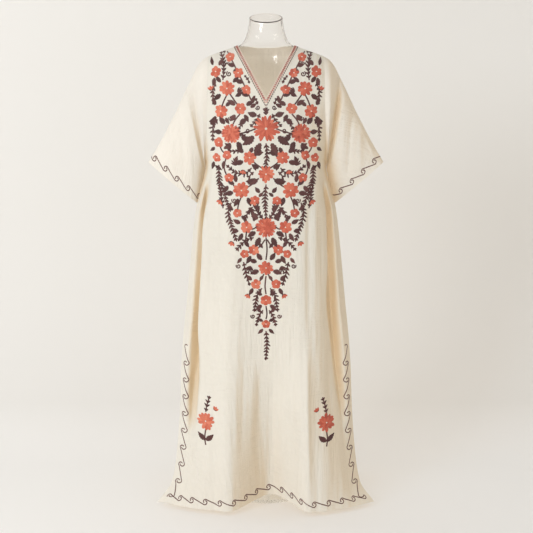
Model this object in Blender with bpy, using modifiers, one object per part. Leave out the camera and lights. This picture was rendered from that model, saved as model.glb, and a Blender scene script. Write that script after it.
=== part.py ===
"""A full-length kaftan of cotton gauze, worn by a clear limbless dress form on a pole and a round glass base.

Metres, +Z up, the front faces -Y. The origin is at the middle of the base's underside.
"""

import math

import bmesh
import bpy
import numpy as np

# Cloth
WALL = 0.0013
SEAM_GAP = 0.0003
CHEST_HEIGHT = 1.206
CHEST_EDGE_X = 0.1725
HEM_HEIGHT = 0.013
HEM_WAVE_START = 0.72
NECK_HALF_WIDTH = 0.082
BACK_NECK_DEPTH = 0.055
ARMHOLE_BOTTOM = 1.018
SLIT_TOP = 0.505

# Braided tape at the neck
TAPE_WIDTH = 0.0135
TAPE_THICKNESS = 0.0010
TAPE_TIP_ROWS = (0, 0.25, 0.5, 0.75, 0.97)

# Dress form
SHELL_WALL = 0.003
REST_GAP = 0.0004
FORM_BOTTOM = 0.702
PLATE_THICKNESS = 0.008
POLE_RADIUS = 0.0125
FLANGE_RADIUS = 0.034
FLANGE_THICKNESS = 0.008
BASE_RADIUS = 0.120
BASE_THICKNESS = 0.010
BASE_EDGE_ROUND = 0.002

# The crest of the shoulders, from the middle of the neck to the armhole
SHOULDER_COLUMNS = ("x", "height")
SHOULDER_END = (0.1715, 1.343)
SHOULDER_CREST = (
    (0.000, 1.393),
    (0.045, 1.387),
    (0.082, 1.375),
    (0.120, 1.3625),
    (0.165, 1.346),
    SHOULDER_END,
)

# Half sections of the front, from its middle over a front fold to the side edge. The first knot mirrors the third,
# so that the two halves meet in one soft curve.
FRONT_KNOTS = (-0.40, 0.0, 0.40, 0.70, 0.80, 0.90, 1.0)
FRONT_COLUMNS = (
    "height", "middle_y", "lobe_x", "lobe_y", "crest_x", "crest_y",
    "valley_x", "valley_y", "roll_x", "roll_y", "edge_x", "edge_y", "drift_x",
)
FRONT_SECTIONS = (
    (1.206, -0.108, 0.060, -0.104, 0.115, -0.094, 0.135, -0.088, 0.153, -0.082, CHEST_EDGE_X, -0.073, 0.000),
    (1.120, -0.135, 0.065, -0.131, 0.128, -0.106, 0.146, -0.095, 0.161, -0.084, 0.1760, -0.068, 0.000),
    (1.060, -0.136, 0.068, -0.132, 0.142, -0.102, 0.156, -0.090, 0.167, -0.072, 0.1780, -0.046, 0.000),
    (1.018, -0.135, 0.070, -0.131, 0.150, -0.099, 0.163, -0.079, 0.172, -0.054, 0.1795, -0.010, 0.000),
    (0.950, -0.136, 0.075, -0.134, 0.163, -0.094, 0.174, -0.057, 0.184, -0.060, 0.1960, -0.013, 0.000),
    (0.885, -0.138, 0.080, -0.137, 0.176, -0.089, 0.186, -0.046, 0.198, -0.062, 0.2110, -0.016, 0.000),
    (0.765, -0.143, 0.086, -0.145, 0.182, -0.088, 0.191, -0.041, 0.208, -0.062, 0.2250, -0.020, 0.000),
    (0.610, -0.147, 0.100, -0.153, 0.190, -0.092, 0.200, -0.042, 0.219, -0.064, 0.2400, -0.025, 0.000),
    (0.505, -0.147, 0.110, -0.161, 0.196, -0.097, 0.208, -0.047, 0.229, -0.067, 0.2510, -0.035, 0.002),
    (0.400, -0.144, 0.118, -0.173, 0.201, -0.108, 0.215, -0.062, 0.237, -0.075, 0.2580, -0.048, 0.005),
    (0.300, -0.140, 0.124, -0.188, 0.207, -0.128, 0.223, -0.087, 0.243, -0.088, 0.2610, -0.063, 0.008),
    (0.145, -0.135, 0.130, -0.212, 0.214, -0.167, 0.235, -0.136, 0.254, -0.118, 0.2720, -0.097, 0.013),
    (0.070, -0.136, 0.132, -0.224, 0.220, -0.186, 0.246, -0.161, 0.268, -0.141, 0.2850, -0.122, 0.015),
    (0.013, -0.138, 0.133, -0.233, 0.227, -0.203, 0.263, -0.183, 0.296, -0.163, 0.3270, -0.143, 0.016),
)
FRONT_HEM_RISE = (0.000, 0.022, 0.000, 0.001, 0.001, 0.002, 0.002)

# Half sections of the back, from its middle over a soft back fold to the side edge
BACK_KNOTS = (-0.40, 0.0, 0.40, 0.62, 0.82, 1.0)
BACK_COLUMNS = (
    "height", "middle_y", "lobe_x", "lobe_y", "dip_x", "dip_y", "crest_x", "crest_y", "edge_x", "edge_y",
)
BACK_SECTIONS = (
    (1.206, 0.102, 0.0825, 0.101, 0.115, 0.096, 0.147, 0.087, CHEST_EDGE_X, 0.073),
    (1.120, 0.102, 0.0830, 0.106, 0.120, 0.098, 0.151, 0.088, 0.1760, 0.068),
    (1.060, 0.098, 0.0840, 0.106, 0.124, 0.096, 0.155, 0.080, 0.1780, 0.045),
    (1.018, 0.095, 0.0850, 0.106, 0.127, 0.094, 0.158, 0.070, 0.1795, -0.010),
    (0.950, 0.092, 0.0870, 0.107, 0.131, 0.091, 0.166, 0.062, 0.1960, -0.013),
    (0.885, 0.091, 0.0890, 0.109, 0.136, 0.090, 0.175, 0.060, 0.2110, -0.016),
    (0.765, 0.094, 0.0920, 0.115, 0.143, 0.090, 0.187, 0.060, 0.2250, -0.020),
    (0.610, 0.097, 0.0960, 0.123, 0.151, 0.091, 0.199, 0.062, 0.2400, -0.025),
    (0.505, 0.098, 0.1000, 0.131, 0.157, 0.092, 0.207, 0.064, 0.2510, -0.035),
    (0.400, 0.103, 0.1040, 0.146, 0.163, 0.100, 0.213, 0.068, 0.2500, -0.026),
    (0.300, 0.110, 0.1090, 0.160, 0.169, 0.108, 0.219, 0.076, 0.2520, -0.018),
    (0.145, 0.124, 0.1160, 0.184, 0.178, 0.124, 0.230, 0.090, 0.2630, -0.004),
    (0.070, 0.131, 0.1200, 0.194, 0.184, 0.132, 0.240, 0.097, 0.2750, 0.001),
    (0.013, 0.136, 0.1230, 0.202, 0.190, 0.138, 0.252, 0.102, 0.2970, 0.004),
)
BACK_HEM_RISE = (0.000, 0.004, 0.000, 0.003, 0.001, 0.002)

# Long soft folds that run down a panel. A rise pushes the cloth out and a negative one lets it in. A fold reaches its
# full rise after the first part of its length, and none of them reaches the side edge.
FOLD_START_SHARE = 0.4
FOLD_EDGE_POWER = 6
FOLD_COLUMNS = ("top_x", "top_height", "bottom_x", "bottom_height", "half_width", "rise")
FRONT_FOLDS = (
    (0.126, 0.42, 0.143, 0.01, 0.026, 0.013),
    (0.122, 0.90, 0.132, 0.24, 0.022, -0.008),
    (0.152, 0.84, 0.158, 0.22, 0.022, 0.007),
    (-0.146, 0.86, -0.150, 0.26, 0.024, -0.008),
    (-0.112, 0.70, -0.118, 0.01, 0.026, 0.007),
    (-0.030, 0.46, -0.026, 0.03, 0.024, -0.007),
    (0.052, 0.40, 0.060, 0.02, 0.028, 0.005),
)
BACK_FOLDS = (
    (-0.060, 1.05, -0.072, 0.10, 0.026, 0.008),
    (-0.020, 0.92, -0.030, 0.05, 0.026, -0.009),
    (0.034, 0.98, 0.048, 0.02, 0.026, 0.008),
    (-0.146, 0.80, -0.176, 0.02, 0.024, -0.006),
    (0.150, 0.88, 0.182, 0.02, 0.024, -0.007),
)

# Sleeve sections between its top fold and its under seam, from the armhole to the cuff
SLEEVE_COLUMNS = (
    "station", "top_x", "top_z", "seam_x", "seam_z", "seam_y", "front_depth", "back_depth", "armhole_share",
)
SLEEVE_SECTIONS = (
    (0.00, 0.1718, 1.3430, 0.1800, 1.0195, -0.010, 0.073, 0.073, 1.00),
    (0.06, 0.1860, 1.3350, 0.1818, 1.0175, -0.009, 0.072, 0.070, 0.85),
    (0.12, 0.2030, 1.3150, 0.1833, 1.0150, -0.007, 0.067, 0.062, 0.45),
    (0.17, 0.2135, 1.2950, 0.1845, 1.0120, -0.006, 0.058, 0.055, 0.15),
    (0.21, 0.2205, 1.2800, 0.1855, 1.0085, -0.005, 0.034, 0.043, 0.00),
    (0.25, 0.2275, 1.2660, 0.1868, 1.0040, -0.004, 0.047, 0.047, 0.00),
    (0.32, 0.2395, 1.2420, 0.1895, 0.9940, -0.002, 0.052, 0.050, 0.00),
    (0.50, 0.2710, 1.1760, 0.1960, 0.9680, 0.001, 0.050, 0.050, 0.00),
    (0.75, 0.3130, 1.0960, 0.2048, 0.9350, 0.003, 0.039, 0.040, 0.00),
    (1.00, 0.3520, 1.0300, 0.2135, 0.9060, 0.004, 0.024, 0.026, 0.00),
)

# Rings of the dress form: height, half width, reach to the front, reach to the back, squareness and tilt in degrees.
# The tilt turns a ring's front down, towards the neck cap's slant.
TORSO_RINGS = (
    (0.702, 0.158, 0.110, 0.076, 2.3, 0.0),
    (0.740, 0.165, 0.115, 0.080, 2.3, 0.0),
    (0.800, 0.166, 0.116, 0.081, 2.3, 0.0),
    (0.880, 0.152, 0.108, 0.077, 2.3, 0.0),
    (0.970, 0.134, 0.101, 0.073, 2.2, 0.0),
    (1.050, 0.141, 0.113, 0.077, 2.2, 0.0),
    (1.110, 0.153, 0.121, 0.083, 2.2, 0.0),
    (1.160, 0.163, 0.113, 0.086, 2.2, 0.0),
    (1.210, 0.172, 0.099, 0.087, 2.3, 0.0),
    (1.250, 0.182, 0.089, 0.082, 2.3, 0.0),
    (1.280, 0.187, 0.080, 0.075, 2.2, 0.0),
    (1.305, 0.185, 0.070, 0.065, 2.0, 0.0),
    (1.325, 0.176, 0.061, 0.056, 1.8, 0.0),
)
SHOULDER_RING_HALF_WIDTHS = (0.158, 0.141, 0.122, 0.102, 0.082)
SHOULDER_RING_DEPTHS = (0.055, 0.050, 0.045, 0.040, 0.036)
SHOULDER_SQUARENESS = 1.45
NECK_RINGS = (
    (1.3795, 0.0725, 0.043, 0.042, 1.6, 2.0),
    (1.3890, 0.0655, 0.048, 0.046, 1.9, 5.0),
    (1.4010, 0.0600, 0.052, 0.050, 2.0, 8.0),
    (1.4170, 0.0550, 0.051, 0.049, 2.0, 11.0),
    (1.4350, 0.0515, 0.050, 0.048, 2.0, 13.0),
    (1.4530, 0.0498, 0.0495, 0.0480, 2.0, 15.0),
    (1.4560, 0.0490, 0.0485, 0.0470, 2.0, 15.0),
    (1.4570, 0.0470, 0.0465, 0.0450, 2.0, 15.0),
)

# Grid steps
FRONT_STEPS = (0, 0.09, 0.18, 0.27, 0.34, 0.40, 0.46, 0.53, 0.60, 0.65, 0.70, 0.75, 0.80, 0.85, 0.90, 0.95, 1)
BACK_STEPS = (0, 0.10, 0.20, 0.30, 0.36, 0.40, 0.47, 0.54, 0.62, 0.69, 0.76, 0.82, 0.88, 0.94, 1)
SHOULDER_ANGLES = (0, 9, 19, 32, 46, 60, 75)
TIP_ROWS = (0, 0.012, 0.024)
BODY_ROWS = 26
SLEEVE_STATIONS = (0, 0.03, 0.06, 0.09, 0.12, 0.15, 0.17, 0.19, 0.21, 0.23, 0.25, 0.29, 0.37, 0.48, 0.62, 0.80, 1)
SLEEVE_SIDE_STEPS = 11
FORM_SIDES = 32


def soft_curve(knots, values, place):
    """The value at a place on a smooth curve through the knots that never swings past them."""
    knots = np.asarray(knots, float)
    values = np.asarray(values, float)
    if knots[0] > knots[-1]:
        knots = knots[::-1]
        values = values[::-1]
    runs = np.diff(knots)
    rises = (np.diff(values, axis=0).T / runs).T
    slopes = np.empty_like(values)
    slopes[0] = rises[0]
    slopes[-1] = rises[-1]
    product = rises[:-1] * rises[1:]
    total = rises[:-1] + rises[1:]
    slopes[1:-1] = np.where(product > 0, 2 * product / np.where(total == 0, 1, total), 0)
    place = min(max(place, knots[0]), knots[-1])
    k = min(int(np.searchsorted(knots, place, "right")) - 1, len(runs) - 1)
    t = (place - knots[k]) / runs[k]
    return (
        (1 + 2 * t) * (1 - t) ** 2 * values[k]
        + t * (1 - t) ** 2 * runs[k] * slopes[k]
        + t * t * (3 - 2 * t) * values[k + 1]
        + t * t * (t - 1) * runs[k] * slopes[k + 1]
    )


def table_row(columns, rows, place):
    """The row of a table at any place of its first column, as a dictionary of its other columns."""
    rows = np.asarray(rows, float)
    return dict(zip(columns[1:], soft_curve(rows[:, 0], rows[:, 1:], place)))


def ease(value):
    value = min(max(value, 0.0), 1.0)
    return value * value * (3 - 2 * value)


def crest_height(x):
    return float(table_row(SHOULDER_COLUMNS, SHOULDER_CREST, abs(x))["height"])


def fold_push(folds, x, height):
    """How far the long folds push the cloth out at this place."""
    push = 0.0
    for row in folds:
        fold = dict(zip(FOLD_COLUMNS, row))
        along = (fold["top_height"] - height) / (fold["top_height"] - fold["bottom_height"])
        middle = fold["top_x"] + (fold["bottom_x"] - fold["top_x"]) * along
        across = (x - middle) / fold["half_width"]
        push += fold["rise"] * ease(along / FOLD_START_SHARE) * math.exp(-across * across)
    return push


def front_section(height, u):
    """Half section of the front: (x, y) at u from the middle, 0, to the side edge, 1."""
    row = table_row(FRONT_COLUMNS, FRONT_SECTIONS, height)
    points = [
        (-row["lobe_x"], row["lobe_y"]),
        (0.0, row["middle_y"]),
        (row["lobe_x"], row["lobe_y"]),
        (row["crest_x"], row["crest_y"]),
        (row["valley_x"], row["valley_y"]),
        (row["roll_x"], row["roll_y"]),
        (row["edge_x"], row["edge_y"]),
    ]
    x, y = soft_curve(FRONT_KNOTS, points, u)
    return x, y, row["drift_x"]


def back_section(height, u):
    """Half section of the back: (x, y) at u from the middle, 0, to the side edge, 1."""
    row = table_row(BACK_COLUMNS, BACK_SECTIONS, height)
    edge = (row["edge_x"], row["edge_y"])
    if SLIT_TOP <= height <= ARMHOLE_BOTTOM:
        edge = front_section(height, 1.0)[:2]
    points = [
        (-row["lobe_x"], row["lobe_y"]),
        (0.0, row["middle_y"]),
        (row["lobe_x"], row["lobe_y"]),
        (row["dip_x"], row["dip_y"]),
        (row["crest_x"], row["crest_y"]),
        edge,
    ]
    return soft_curve(BACK_KNOTS, points, u)


def edge_x(height):
    """Distance of the armhole or side seam from the middle of the body."""
    if height > CHEST_HEIGHT:
        share = (height - CHEST_HEIGHT) / (SHOULDER_END[1] - CHEST_HEIGHT)
        return CHEST_EDGE_X + (SHOULDER_END[0] - CHEST_EDGE_X) * share
    return float(front_section(height, 1.0)[0])


def body_height(rises, knots, u, v):
    """Height of a panel's point below the chest, and the height of the section that it lies on."""
    height = CHEST_HEIGHT - v * (CHEST_HEIGHT - HEM_HEIGHT)
    rise = float(soft_curve(knots, rises, u))
    return height + rise * ease((v - HEM_WAVE_START) / (1 - HEM_WAVE_START)), height


def front_point(side, u, v):
    """Outer point of the front. v is -1 at the shoulder seam, 0 at the chest and 1 at the hem."""
    if v <= 0:
        x_chest, y_chest, _ = front_section(CHEST_HEIGHT, u)
        angle = (1 + v) * math.pi / 2
        share = x_chest / CHEST_EDGE_X
        slope = math.cos(angle)
        crest = crest_height(NECK_HALF_WIDTH + share * (SHOULDER_END[0] - NECK_HALF_WIDTH))
        z = CHEST_HEIGHT + (crest - CHEST_HEIGHT) * slope
        neck = NECK_HALF_WIDTH * slope
        x = neck + share * (edge_x(z) - neck)
        return np.array((side * x, y_chest * math.sin(angle) - SEAM_GAP / 2, z))
    z, height = body_height(FRONT_HEM_RISE, FRONT_KNOTS, u, v)
    x, y, drift = front_section(height, u)
    x = side * x + drift * (1 - u * u)
    y -= fold_push(FRONT_FOLDS, x, height) * (1 - u**FOLD_EDGE_POWER)
    return np.array((x, y - SEAM_GAP / 2, z))


def back_point(side, u, v):
    """Outer point of the back. v is -1 at the neck and shoulder seam, 0 at the chest and 1 at the hem."""
    if v <= 0:
        x_chest, y_chest = back_section(CHEST_HEIGHT, u)
        share = x_chest / CHEST_EDGE_X
        x_crest = share * SHOULDER_END[0]
        neck = BACK_NECK_DEPTH * math.sqrt(max(0.0, 1 - (x_crest / NECK_HALF_WIDTH) ** 2))
        start = math.asin(neck / y_chest)
        angle = start + (1 + v) * (math.pi / 2 - start)
        z = CHEST_HEIGHT + (crest_height(x_crest) - CHEST_HEIGHT) * math.cos(angle)
        x = share * edge_x(z)
        return np.array((side * x, y_chest * math.sin(angle) + SEAM_GAP / 2, z))
    z, height = body_height(BACK_HEM_RISE, BACK_KNOTS, u, v)
    x, y = back_section(height, u)
    y += fold_push(BACK_FOLDS, side * x, height) * (1 - u**FOLD_EDGE_POWER)
    return np.array((side * x, y + SEAM_GAP / 2, z))


def armhole_y(section, z):
    """Depth of a panel's edge at this height of the armhole."""
    if z < CHEST_HEIGHT:
        return section(z, 1.0)[1]
    share = (z - CHEST_HEIGHT) / (SHOULDER_END[1] - CHEST_HEIGHT)
    return section(CHEST_HEIGHT, 1.0)[1] * math.sqrt(max(0.0, 1 - share * share))


def sleeve_point(side, station, angle):
    """Outer point of a sleeve. The angle runs round it from the top fold by the front and the under seam."""
    row = table_row(SLEEVE_COLUMNS, SLEEVE_SECTIONS, station)
    hole = table_row(SLEEVE_COLUMNS, SLEEVE_SECTIONS, 0)
    down = (1 - math.cos(angle)) / 2
    reach = math.sin(angle)
    x = row["top_x"] + (row["seam_x"] - row["top_x"]) * down
    z = row["top_z"] + (row["seam_z"] - row["top_z"]) * down
    y = row["seam_y"] * down - reach * row["front_depth" if reach > 0 else "back_depth"]
    z_hole = hole["top_z"] + (hole["seam_z"] - hole["top_z"]) * down
    y_hole = armhole_y(front_section if reach > 0 else back_section, max(z_hole, ARMHOLE_BOTTOM))
    y += (y_hole - y) * row["armhole_share"]
    if station == 0:
        x = edge_x(z_hole) + SEAM_GAP
    return np.array((side * x, y, z))


def soft_shade(mesh, angle=math.radians(50)):
    mesh.shade_smooth()
    mesh.set_sharp_from_angle(angle=angle)


def mesh_object(name, collection, material, points, faces):
    mesh = bpy.data.meshes.new(name)
    mesh.from_pydata([tuple(point) for point in points], [], faces)
    mesh.validate()
    mesh.update()
    mesh.materials.append(material)
    obj = bpy.data.objects.new(name, mesh)
    collection.objects.link(obj)
    return obj


def sheet_grid(rows, strips, place):
    """Points, quads and grid places of a sheet. Places that fall together become one point."""
    points = []
    spots = []
    index = {}
    quads = []
    for strip in strips:
        lines = []
        for row in rows:
            line = []
            for column in strip:
                point = place(row, column)
                key = tuple(np.round(point, 6))
                if key not in index:
                    index[key] = len(points)
                    points.append(point)
                    spots.append((row, column))
                line.append(index[key])
            lines.append(line)
        for upper, lower in zip(lines, lines[1:]):
            for k in range(len(strip) - 1):
                quads.append((upper[k], lower[k], lower[k + 1], upper[k + 1]))
    return np.array(points), spots, quads


def cloth_wall(name, collection, material, grid, thickness, level_axes=None, lift=0.0):
    """A closed wall: the grid is its outer face, and its inner face lies one thickness inside.

    level_axes gives, for a grid place on a seam, the axes that the wall's end has to stay square to.
    """
    points, spots, quads = grid
    form = bmesh.new()
    for point in points:
        form.verts.new(point)
    form.verts.ensure_lookup_table()
    form.verts.index_update()
    for quad in quads:
        corners = list(dict.fromkeys(quad))
        if len(corners) > 2:
            form.faces.new([form.verts[k] for k in corners])
    form.normal_update()
    normals = np.array([tuple(vert.normal) for vert in form.verts])
    for k, spot in enumerate(spots):
        for axis in level_axes(*spot) if level_axes else ():
            normals[k][axis] = 0.0
        normals[k] /= np.linalg.norm(normals[k])
    count = len(points)
    faces = [tuple(vert.index for vert in face.verts) for face in form.faces]
    rim = [edge for edge in form.edges if edge.is_boundary]
    ends = []
    for edge in rim:
        loop = edge.link_loops[0]
        ends.append((loop.vert.index, loop.link_loop_next.vert.index))
    form.free()
    outer = points + normals * lift
    inner = outer - normals * thickness
    walls = [(b, a, a + count, b + count) for a, b in ends]
    backs = [tuple(k + count for k in reversed(face)) for face in faces]
    obj = mesh_object(name, collection, material, np.vstack((outer, inner)), faces + backs + walls)
    soft_shade(obj.data)
    return obj


def panel_rows():
    shoulder = [angle / 90 - 1 for angle in SHOULDER_ANGLES]
    return shoulder + list(TIP_ROWS) + [k / BODY_ROWS for k in range(1, BODY_ROWS + 1)]


def panel_strips(steps):
    """The two halves of a panel, each from the left to the right."""
    left = [(-1, u) for u in reversed(steps)]
    right = [(1, u) for u in steps]
    return left, right


def row_of(height):
    return (CHEST_HEIGHT - height) / (CHEST_HEIGHT - HEM_HEIGHT)


def panel_seams(v, column, seam_start=0.0):
    """Axes that a panel's wall stays square to: along the shoulder, the armhole and the side seam."""
    axes = []
    if v == -1 and column[1] >= seam_start:
        axes.append(1)
    if column[1] == 1:
        axes.append(0 if v < row_of(ARMHOLE_BOTTOM) else 1)
    return axes


def with_seam_rows(rows):
    """Moves the rows next to the armhole's lower end and next to the slit's top onto them."""
    for target in (row_of(ARMHOLE_BOTTOM), row_of(SLIT_TOP)):
        nearest = min(range(len(rows)), key=lambda k: abs(rows[k] - target))
        rows[nearest] = target
    return rows


def build_front(collection, material):
    rows = with_seam_rows(panel_rows())
    grid = sheet_grid(rows, panel_strips(FRONT_STEPS), lambda v, column: front_point(*column, v))
    return cloth_wall("front_panel", collection, material, grid, WALL, panel_seams)


def build_back(collection, material):
    rows = with_seam_rows(panel_rows())
    strips = [strip[::-1] for strip in panel_strips(BACK_STEPS)]
    grid = sheet_grid(rows, strips, lambda v, column: back_point(*column, v))
    neck = BACK_KNOTS[2]
    return cloth_wall(
        "back_panel", collection, material, grid, WALL, lambda v, column: panel_seams(v, column, neck)
    )


def build_sleeve(name, side, collection, material):
    steps = 2 * SLEEVE_SIDE_STEPS
    angles = [2 * math.pi * k / steps for k in range(steps)]
    ring = angles + [0.0]
    if side > 0:
        ring = ring[::-1]
    grid = sheet_grid(SLEEVE_STATIONS, [ring], lambda station, angle: sleeve_point(side, station, angle))
    return cloth_wall(name, collection, material, grid, WALL, lambda station, angle: (0,) if station == 0 else ())


def front_u_at(x, v):
    """The place across the front panel's half that lies at this distance from the middle, found by halving."""
    low = 0.0
    high = 0.5
    for _ in range(24):
        middle = (low + high) / 2
        if front_point(1, middle, v)[0] < x:
            low = middle
        else:
            high = middle
    return low


def tape_point(v, column):
    """A point of the tape, on the front panel's own surface beside the V and, past v = 0, below its tip."""
    side, share = column
    steepness = (crest_height(NECK_HALF_WIDTH) - CHEST_HEIGHT) / NECK_HALF_WIDTH
    x = front_point(1, 0.0, v)[0] + TAPE_WIDTH * share
    if v > 0:
        x = TAPE_WIDTH * share * (1 - v)
        v *= TAPE_WIDTH * steepness / (CHEST_HEIGHT - HEM_HEIGHT)
    point = front_point(1, front_u_at(x, v) if share else 0.0, v)
    return np.array((side * point[0], point[1], point[2]))


def build_tape(collection, material):
    rows = [angle / 90 - 1 for angle in SHOULDER_ANGLES] + list(TAPE_TIP_ROWS)
    strips = [[(-1, 1.0), (-1, 0.5), (-1, 0.0)], [(1, 0.0), (1, 0.5), (1, 1.0)]]
    grid = sheet_grid(rows, strips, tape_point)

    def level(v, column):
        return (1,) if v == -1 else ()

    return cloth_wall(
        "neck_trim", collection, material, grid, TAPE_THICKNESS, level, lift=TAPE_THICKNESS + SEAM_GAP
    )


def form_ring(height, half_width, front, back, squareness, tilt):
    points = []
    for k in range(FORM_SIDES):
        angle = 2 * math.pi * k / FORM_SIDES
        across = math.copysign(abs(math.cos(angle)) ** (2 / squareness), math.cos(angle))
        along = math.copysign(abs(math.sin(angle)) ** (2 / squareness), math.sin(angle))
        y = along * (back if along > 0 else front)
        points.append((across * half_width, y, height + y * math.tan(math.radians(tilt))))
    return points


def form_rings():
    """Every ring of the dress form. On the shoulders the form follows the cloth's crest, just clear of it."""
    rings = list(TORSO_RINGS)
    for half_width, depth in zip(SHOULDER_RING_HALF_WIDTHS, SHOULDER_RING_DEPTHS):
        height = crest_height(half_width) - WALL - REST_GAP
        rings.append((height, half_width, depth, depth, SHOULDER_SQUARENESS, 0.0))
    return rings + list(NECK_RINGS)


def build_torso(collection, material):
    rings = form_rings()
    points = [point for ring in rings for point in form_ring(*ring)]
    faces = []
    for k in range(len(rings) - 1):
        for j in range(FORM_SIDES):
            a = k * FORM_SIDES + j
            b = k * FORM_SIDES + (j + 1) % FORM_SIDES
            faces.append((a, b, b + FORM_SIDES, a + FORM_SIDES))
    last = (len(rings) - 1) * FORM_SIDES
    faces.append(tuple(range(last, last + FORM_SIDES)))
    obj = mesh_object("form_torso", collection, material, points, faces)
    shell = obj.modifiers.new("shell wall", "SOLIDIFY")
    shell.thickness = SHELL_WALL
    shell.offset = -1
    soft_shade(obj.data)
    return obj


def build_bottom_plate(collection, material):
    """Plate under the shell's rim, with the outline of the lowest ring."""
    outline = form_ring(*TORSO_RINGS[0])
    curve = bpy.data.curves.new("form_bottom_plate", "CURVE")
    curve.dimensions = "2D"
    curve.fill_mode = "BOTH"
    curve.extrude = PLATE_THICKNESS / 2
    spline = curve.splines.new("POLY")
    spline.points.add(len(outline) - 1)
    for point, spot in zip(spline.points, outline):
        point.co = (spot[0], spot[1], 0.0, 1.0)
    spline.use_cyclic_u = True
    curve.materials.append(material)
    obj = bpy.data.objects.new("form_bottom_plate", curve)
    obj.location.z = FORM_BOTTOM - SEAM_GAP - PLATE_THICKNESS / 2
    collection.objects.link(obj)
    return obj


def build_pole(collection, material):
    """Pole with a flange under the plate and one on the base, turned about the vertical."""
    bottom = BASE_THICKNESS + SEAM_GAP
    top = FORM_BOTTOM - 2 * SEAM_GAP - PLATE_THICKNESS
    profile = [
        (0.0, top),
        (FLANGE_RADIUS, top),
        (FLANGE_RADIUS, top - FLANGE_THICKNESS),
        (POLE_RADIUS, top - FLANGE_THICKNESS),
        (POLE_RADIUS, bottom + FLANGE_THICKNESS),
        (FLANGE_RADIUS, bottom + FLANGE_THICKNESS),
        (FLANGE_RADIUS, bottom),
        (0.0, bottom),
    ]
    points = [(radius, 0.0, z) for radius, z in profile]
    mesh = bpy.data.meshes.new("form_pole")
    mesh.from_pydata(points, [(k, k + 1) for k in range(len(points) - 1)], [])
    mesh.materials.append(material)
    obj = bpy.data.objects.new("form_pole", mesh)
    collection.objects.link(obj)
    turn = obj.modifiers.new("turned", "SCREW")
    turn.steps = 32
    turn.render_steps = 32
    turn.use_merge_vertices = True
    turn.merge_threshold = 0.00001
    turn.use_smooth_shade = True
    return obj


def build_base(collection, material):
    bpy.ops.mesh.primitive_cylinder_add(
        vertices=64, radius=BASE_RADIUS, depth=BASE_THICKNESS, location=(0, 0, BASE_THICKNESS / 2)
    )
    obj = bpy.context.object
    obj.name = "form_base"
    obj.data.name = "form_base"
    for owner in list(obj.users_collection):
        owner.objects.unlink(obj)
    collection.objects.link(obj)
    obj.data.materials.append(material)
    edge = obj.modifiers.new("rounded rim", "BEVEL")
    edge.width = BASE_EDGE_ROUND
    edge.segments = 2
    edge.limit_method = "ANGLE"
    edge.angle_limit = math.radians(40)
    soft_shade(obj.data)
    return obj


def material_of(name, colour, roughness, metallic=0.0):
    material = bpy.data.materials.new(name)
    material.use_nodes = True
    surface = material.node_tree.nodes["Principled BSDF"]
    surface.inputs["Base Color"].default_value = (*colour, 1.0)
    surface.inputs["Roughness"].default_value = roughness
    surface.inputs["Metallic"].default_value = metallic
    return material


def main():
    for obj in list(bpy.data.objects):
        bpy.data.objects.remove(obj, do_unlink=True)
    collection = bpy.data.collections.new("kaftan on dress form")
    bpy.context.scene.collection.children.link(collection)

    front_gauze = material_of("front gauze", (0.83, 0.77, 0.66), 0.9)
    back_gauze = material_of("back gauze", (0.82, 0.76, 0.65), 0.9)
    left_gauze = material_of("left sleeve gauze", (0.84, 0.78, 0.67), 0.9)
    right_gauze = material_of("right sleeve gauze", (0.81, 0.75, 0.64), 0.9)
    braid = material_of("neck braid", (0.62, 0.26, 0.19), 0.85)
    clear_shell = material_of("clear shell", (0.88, 0.86, 0.84), 0.08)
    clear_plate = material_of("clear plate", (0.86, 0.86, 0.85), 0.12)
    steel = material_of("brushed steel", (0.62, 0.62, 0.61), 0.32, 1.0)
    glass = material_of("base glass", (0.80, 0.84, 0.82), 0.06)

    build_front(collection, front_gauze)
    build_back(collection, back_gauze)
    build_sleeve("sleeve_left", -1, collection, left_gauze)
    build_sleeve("sleeve_right", 1, collection, right_gauze)
    build_tape(collection, braid)
    build_torso(collection, clear_shell)
    build_bottom_plate(collection, clear_plate)
    build_pole(collection, steel)
    build_base(collection, glass)


main()
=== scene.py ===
import math

import bmesh
import bpy
import numpy as np
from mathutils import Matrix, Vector
from mathutils.bvhtree import BVHTree


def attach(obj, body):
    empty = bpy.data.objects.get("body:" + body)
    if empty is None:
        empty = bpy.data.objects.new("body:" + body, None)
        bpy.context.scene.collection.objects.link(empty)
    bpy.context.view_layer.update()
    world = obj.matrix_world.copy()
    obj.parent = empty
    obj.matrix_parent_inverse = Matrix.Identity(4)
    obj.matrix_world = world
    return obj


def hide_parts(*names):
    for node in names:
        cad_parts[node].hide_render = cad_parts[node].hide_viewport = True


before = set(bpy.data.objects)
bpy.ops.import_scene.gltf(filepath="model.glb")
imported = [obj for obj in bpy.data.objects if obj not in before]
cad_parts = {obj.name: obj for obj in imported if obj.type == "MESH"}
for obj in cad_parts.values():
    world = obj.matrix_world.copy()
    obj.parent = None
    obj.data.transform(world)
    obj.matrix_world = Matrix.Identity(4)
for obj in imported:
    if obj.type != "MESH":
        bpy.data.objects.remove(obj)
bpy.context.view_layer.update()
scene = bpy.context.scene

# Camera: it stands in front of the garment, a little above its middle, and looks slightly down on it.
CAMERA_TARGET_HEIGHT = 0.71
CAMERA_DISTANCE = 4.5
CAMERA_ELEVATION = math.radians(10)
camera_data = bpy.data.cameras.new("camera")
camera_data.sensor_width = 36
camera_data.lens = 100
camera_data.shift_x = 0.0009
camera_data.shift_y = 0.0006
camera = bpy.data.objects.new("camera", camera_data)
scene.collection.objects.link(camera)
camera.location = (
    0,
    -CAMERA_DISTANCE * math.cos(CAMERA_ELEVATION),
    CAMERA_TARGET_HEIGHT + CAMERA_DISTANCE * math.sin(CAMERA_ELEVATION),
)
camera.rotation_euler = (math.pi / 2 - CAMERA_ELEVATION, 0, 0)
scene.camera = camera


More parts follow.
